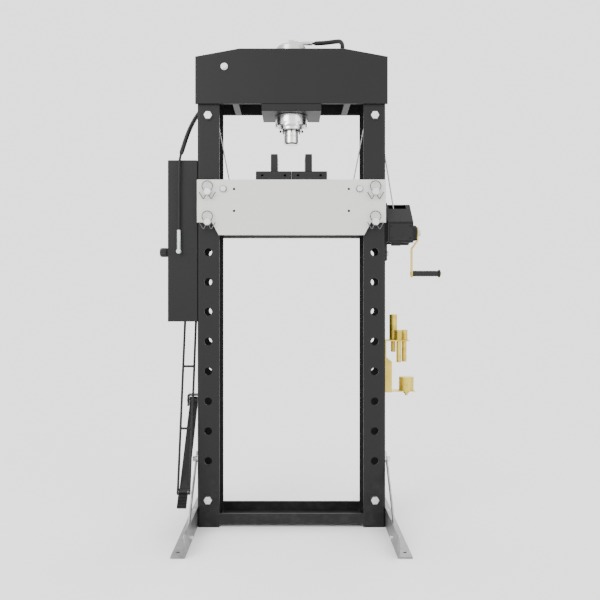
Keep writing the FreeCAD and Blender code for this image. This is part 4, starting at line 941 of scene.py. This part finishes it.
# ------------------------------------------------------------------ studio
class PRESS_OT_stage(bpy.types.Operator):
    """Set the pale floor, the soft studio light and the camera"""

    bl_idname = "press.stage"
    bl_label = "Studio"

    def execute(self, context):
        studio = context.scene.press_studio
        self.add_floor(studio)
        self.add_lights(studio)
        self.add_camera(context, studio)
        return {"FINISHED"}

    def add_floor(self, studio):
        mesh = bpy.data.meshes.new("studio_floor")
        half, z = 90.0, -0.0002
        corners = [(-half, -half, z), (half, -half, z), (half, half, z), (-half, half, z)]
        mesh.from_pydata(corners, [], [(0, 1, 2, 3)])
        floor = bpy.data.objects.new("studio_floor", mesh)
        bpy.context.scene.collection.objects.link(floor)
        shader = Shader("studio_floor_paint")
        reach = shader.output("ShaderNodeVectorMath", "Value", {"operation": "LENGTH"}, {0: shader.place})
        paint = shader.output("ShaderNodeBsdfDiffuse", 0, None, {"Color": (0.93, 0.93, 0.93, 1)})
        glow = shader.output("ShaderNodeEmission", 0, None, {
            "Color": (1, 1, 1, 1), "Strength": studio.sky})
        mixed = shader.output("ShaderNodeMixShader", 0, None, {
            0: shader.between(reach, 0.6, 3.2), 1: paint, 2: glow})
        shader.node("ShaderNodeOutputMaterial", None, {0: mixed})
        mesh.materials.append(shader.material)

    def add_lights(self, studio):
        world = bpy.data.worlds.new("studio_sky")
        bpy.context.scene.world = world
        world.use_nodes = True
        self.add_sky(world.node_tree, studio.sky)
        key = studio.key_power
        for name, power, size, spot, aim in (
                ("key_light", key, 2.4, (-2.6, -3.4, 2.9), (0, 0, 1.1)),
                ("fill_light", key * 0.35, 2.6, (3.0, -3.0, 1.6), (0, 0, 0.9)),
                ("rim_light", key * 0.45, 2.0, (1.6, 3.2, 3.0), (0, 0, 1.2))):
            data = bpy.data.lights.new(name, "AREA")
            data.energy = power
            data.shape = "SQUARE"
            data.size = size
            lamp = bpy.data.objects.new(name, data)
            lamp.location = spot
            lamp.rotation_euler = (Vector(aim) - Vector(spot)).to_track_quat("-Z", "Y").to_euler()
            bpy.context.scene.collection.objects.link(lamp)

    def add_sky(self, tree, strength):
        """A white room whose far left and right are dimmer, so that turned steel shows darker flanks."""
        sky = Nodes(tree)
        way = sky.output("ShaderNodeTexCoord", "Generated")
        side = sky.size(sky.output("ShaderNodeSeparateXYZ", "X", None, {0: way}))
        dim = sky.between(side, 0.45, 0.95, strength, strength * 0.62)
        background = tree.nodes["Background"]
        background.inputs["Color"].default_value = (1, 1, 1, 1)
        tree.links.new(dim.socket, background.inputs["Strength"])

    def add_camera(self, context, studio):
        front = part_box("upright_left")[0][1]
        data = bpy.data.cameras.new("front_camera")
        data.sensor_width = 36
        data.lens = studio.lens
        data.shift_x = 0.01425
        data.shift_y = -0.0167
        camera = bpy.data.objects.new("front_camera", data)
        camera.location = (0, front - studio.camera_distance, studio.camera_height)
        camera.rotation_euler = (math.pi / 2, 0, 0)
        context.scene.collection.objects.link(camera)
        context.scene.camera = camera


OPERATORS = (
    PRESS_OT_finish_steelwork, PRESS_OT_pressure_hose, PRESS_OT_lift_rope, PRESS_OT_release_knob,
    PRESS_OT_pedal_tread, PRESS_OT_weld_beads, PRESS_OT_winch_screws, PRESS_OT_winch_trim,
    PRESS_OT_stage)


class PRESS_PT_panel(bpy.types.Panel):
    """Lists the steps that finish the press"""

    bl_idname = "PRESS_PT_panel"
    bl_label = "Workshop press"
    bl_space_type = "VIEW_3D"
    bl_region_type = "UI"
    bl_category = "Press"

    def draw(self, context):
        for operator in OPERATORS:
            self.layout.operator(operator.bl_idname)


GROUPS = {"press_finishes": PressFinishes, "press_sizes": PressSizes, "press_studio": PressStudio}


def register():
    for name, group in GROUPS.items():
        bpy.utils.register_class(group)
        setattr(bpy.types.Scene, name, PointerProperty(type=group))
    for item in (*OPERATORS, PRESS_PT_panel):
        bpy.utils.register_class(item)


def unregister():
    for item in reversed((*OPERATORS, PRESS_PT_panel)):
        bpy.utils.unregister_class(item)
    for name, group in GROUPS.items():
        delattr(bpy.types.Scene, name)
        bpy.utils.unregister_class(group)


def main():
    register()
    for operator in OPERATORS:
        group, name = operator.bl_idname.split(".")
        if getattr(getattr(bpy.ops, group), name)() != {"FINISHED"}:
            raise RuntimeError(f"{operator.bl_label} did not finish")


if __name__ == "__main__":
    main()
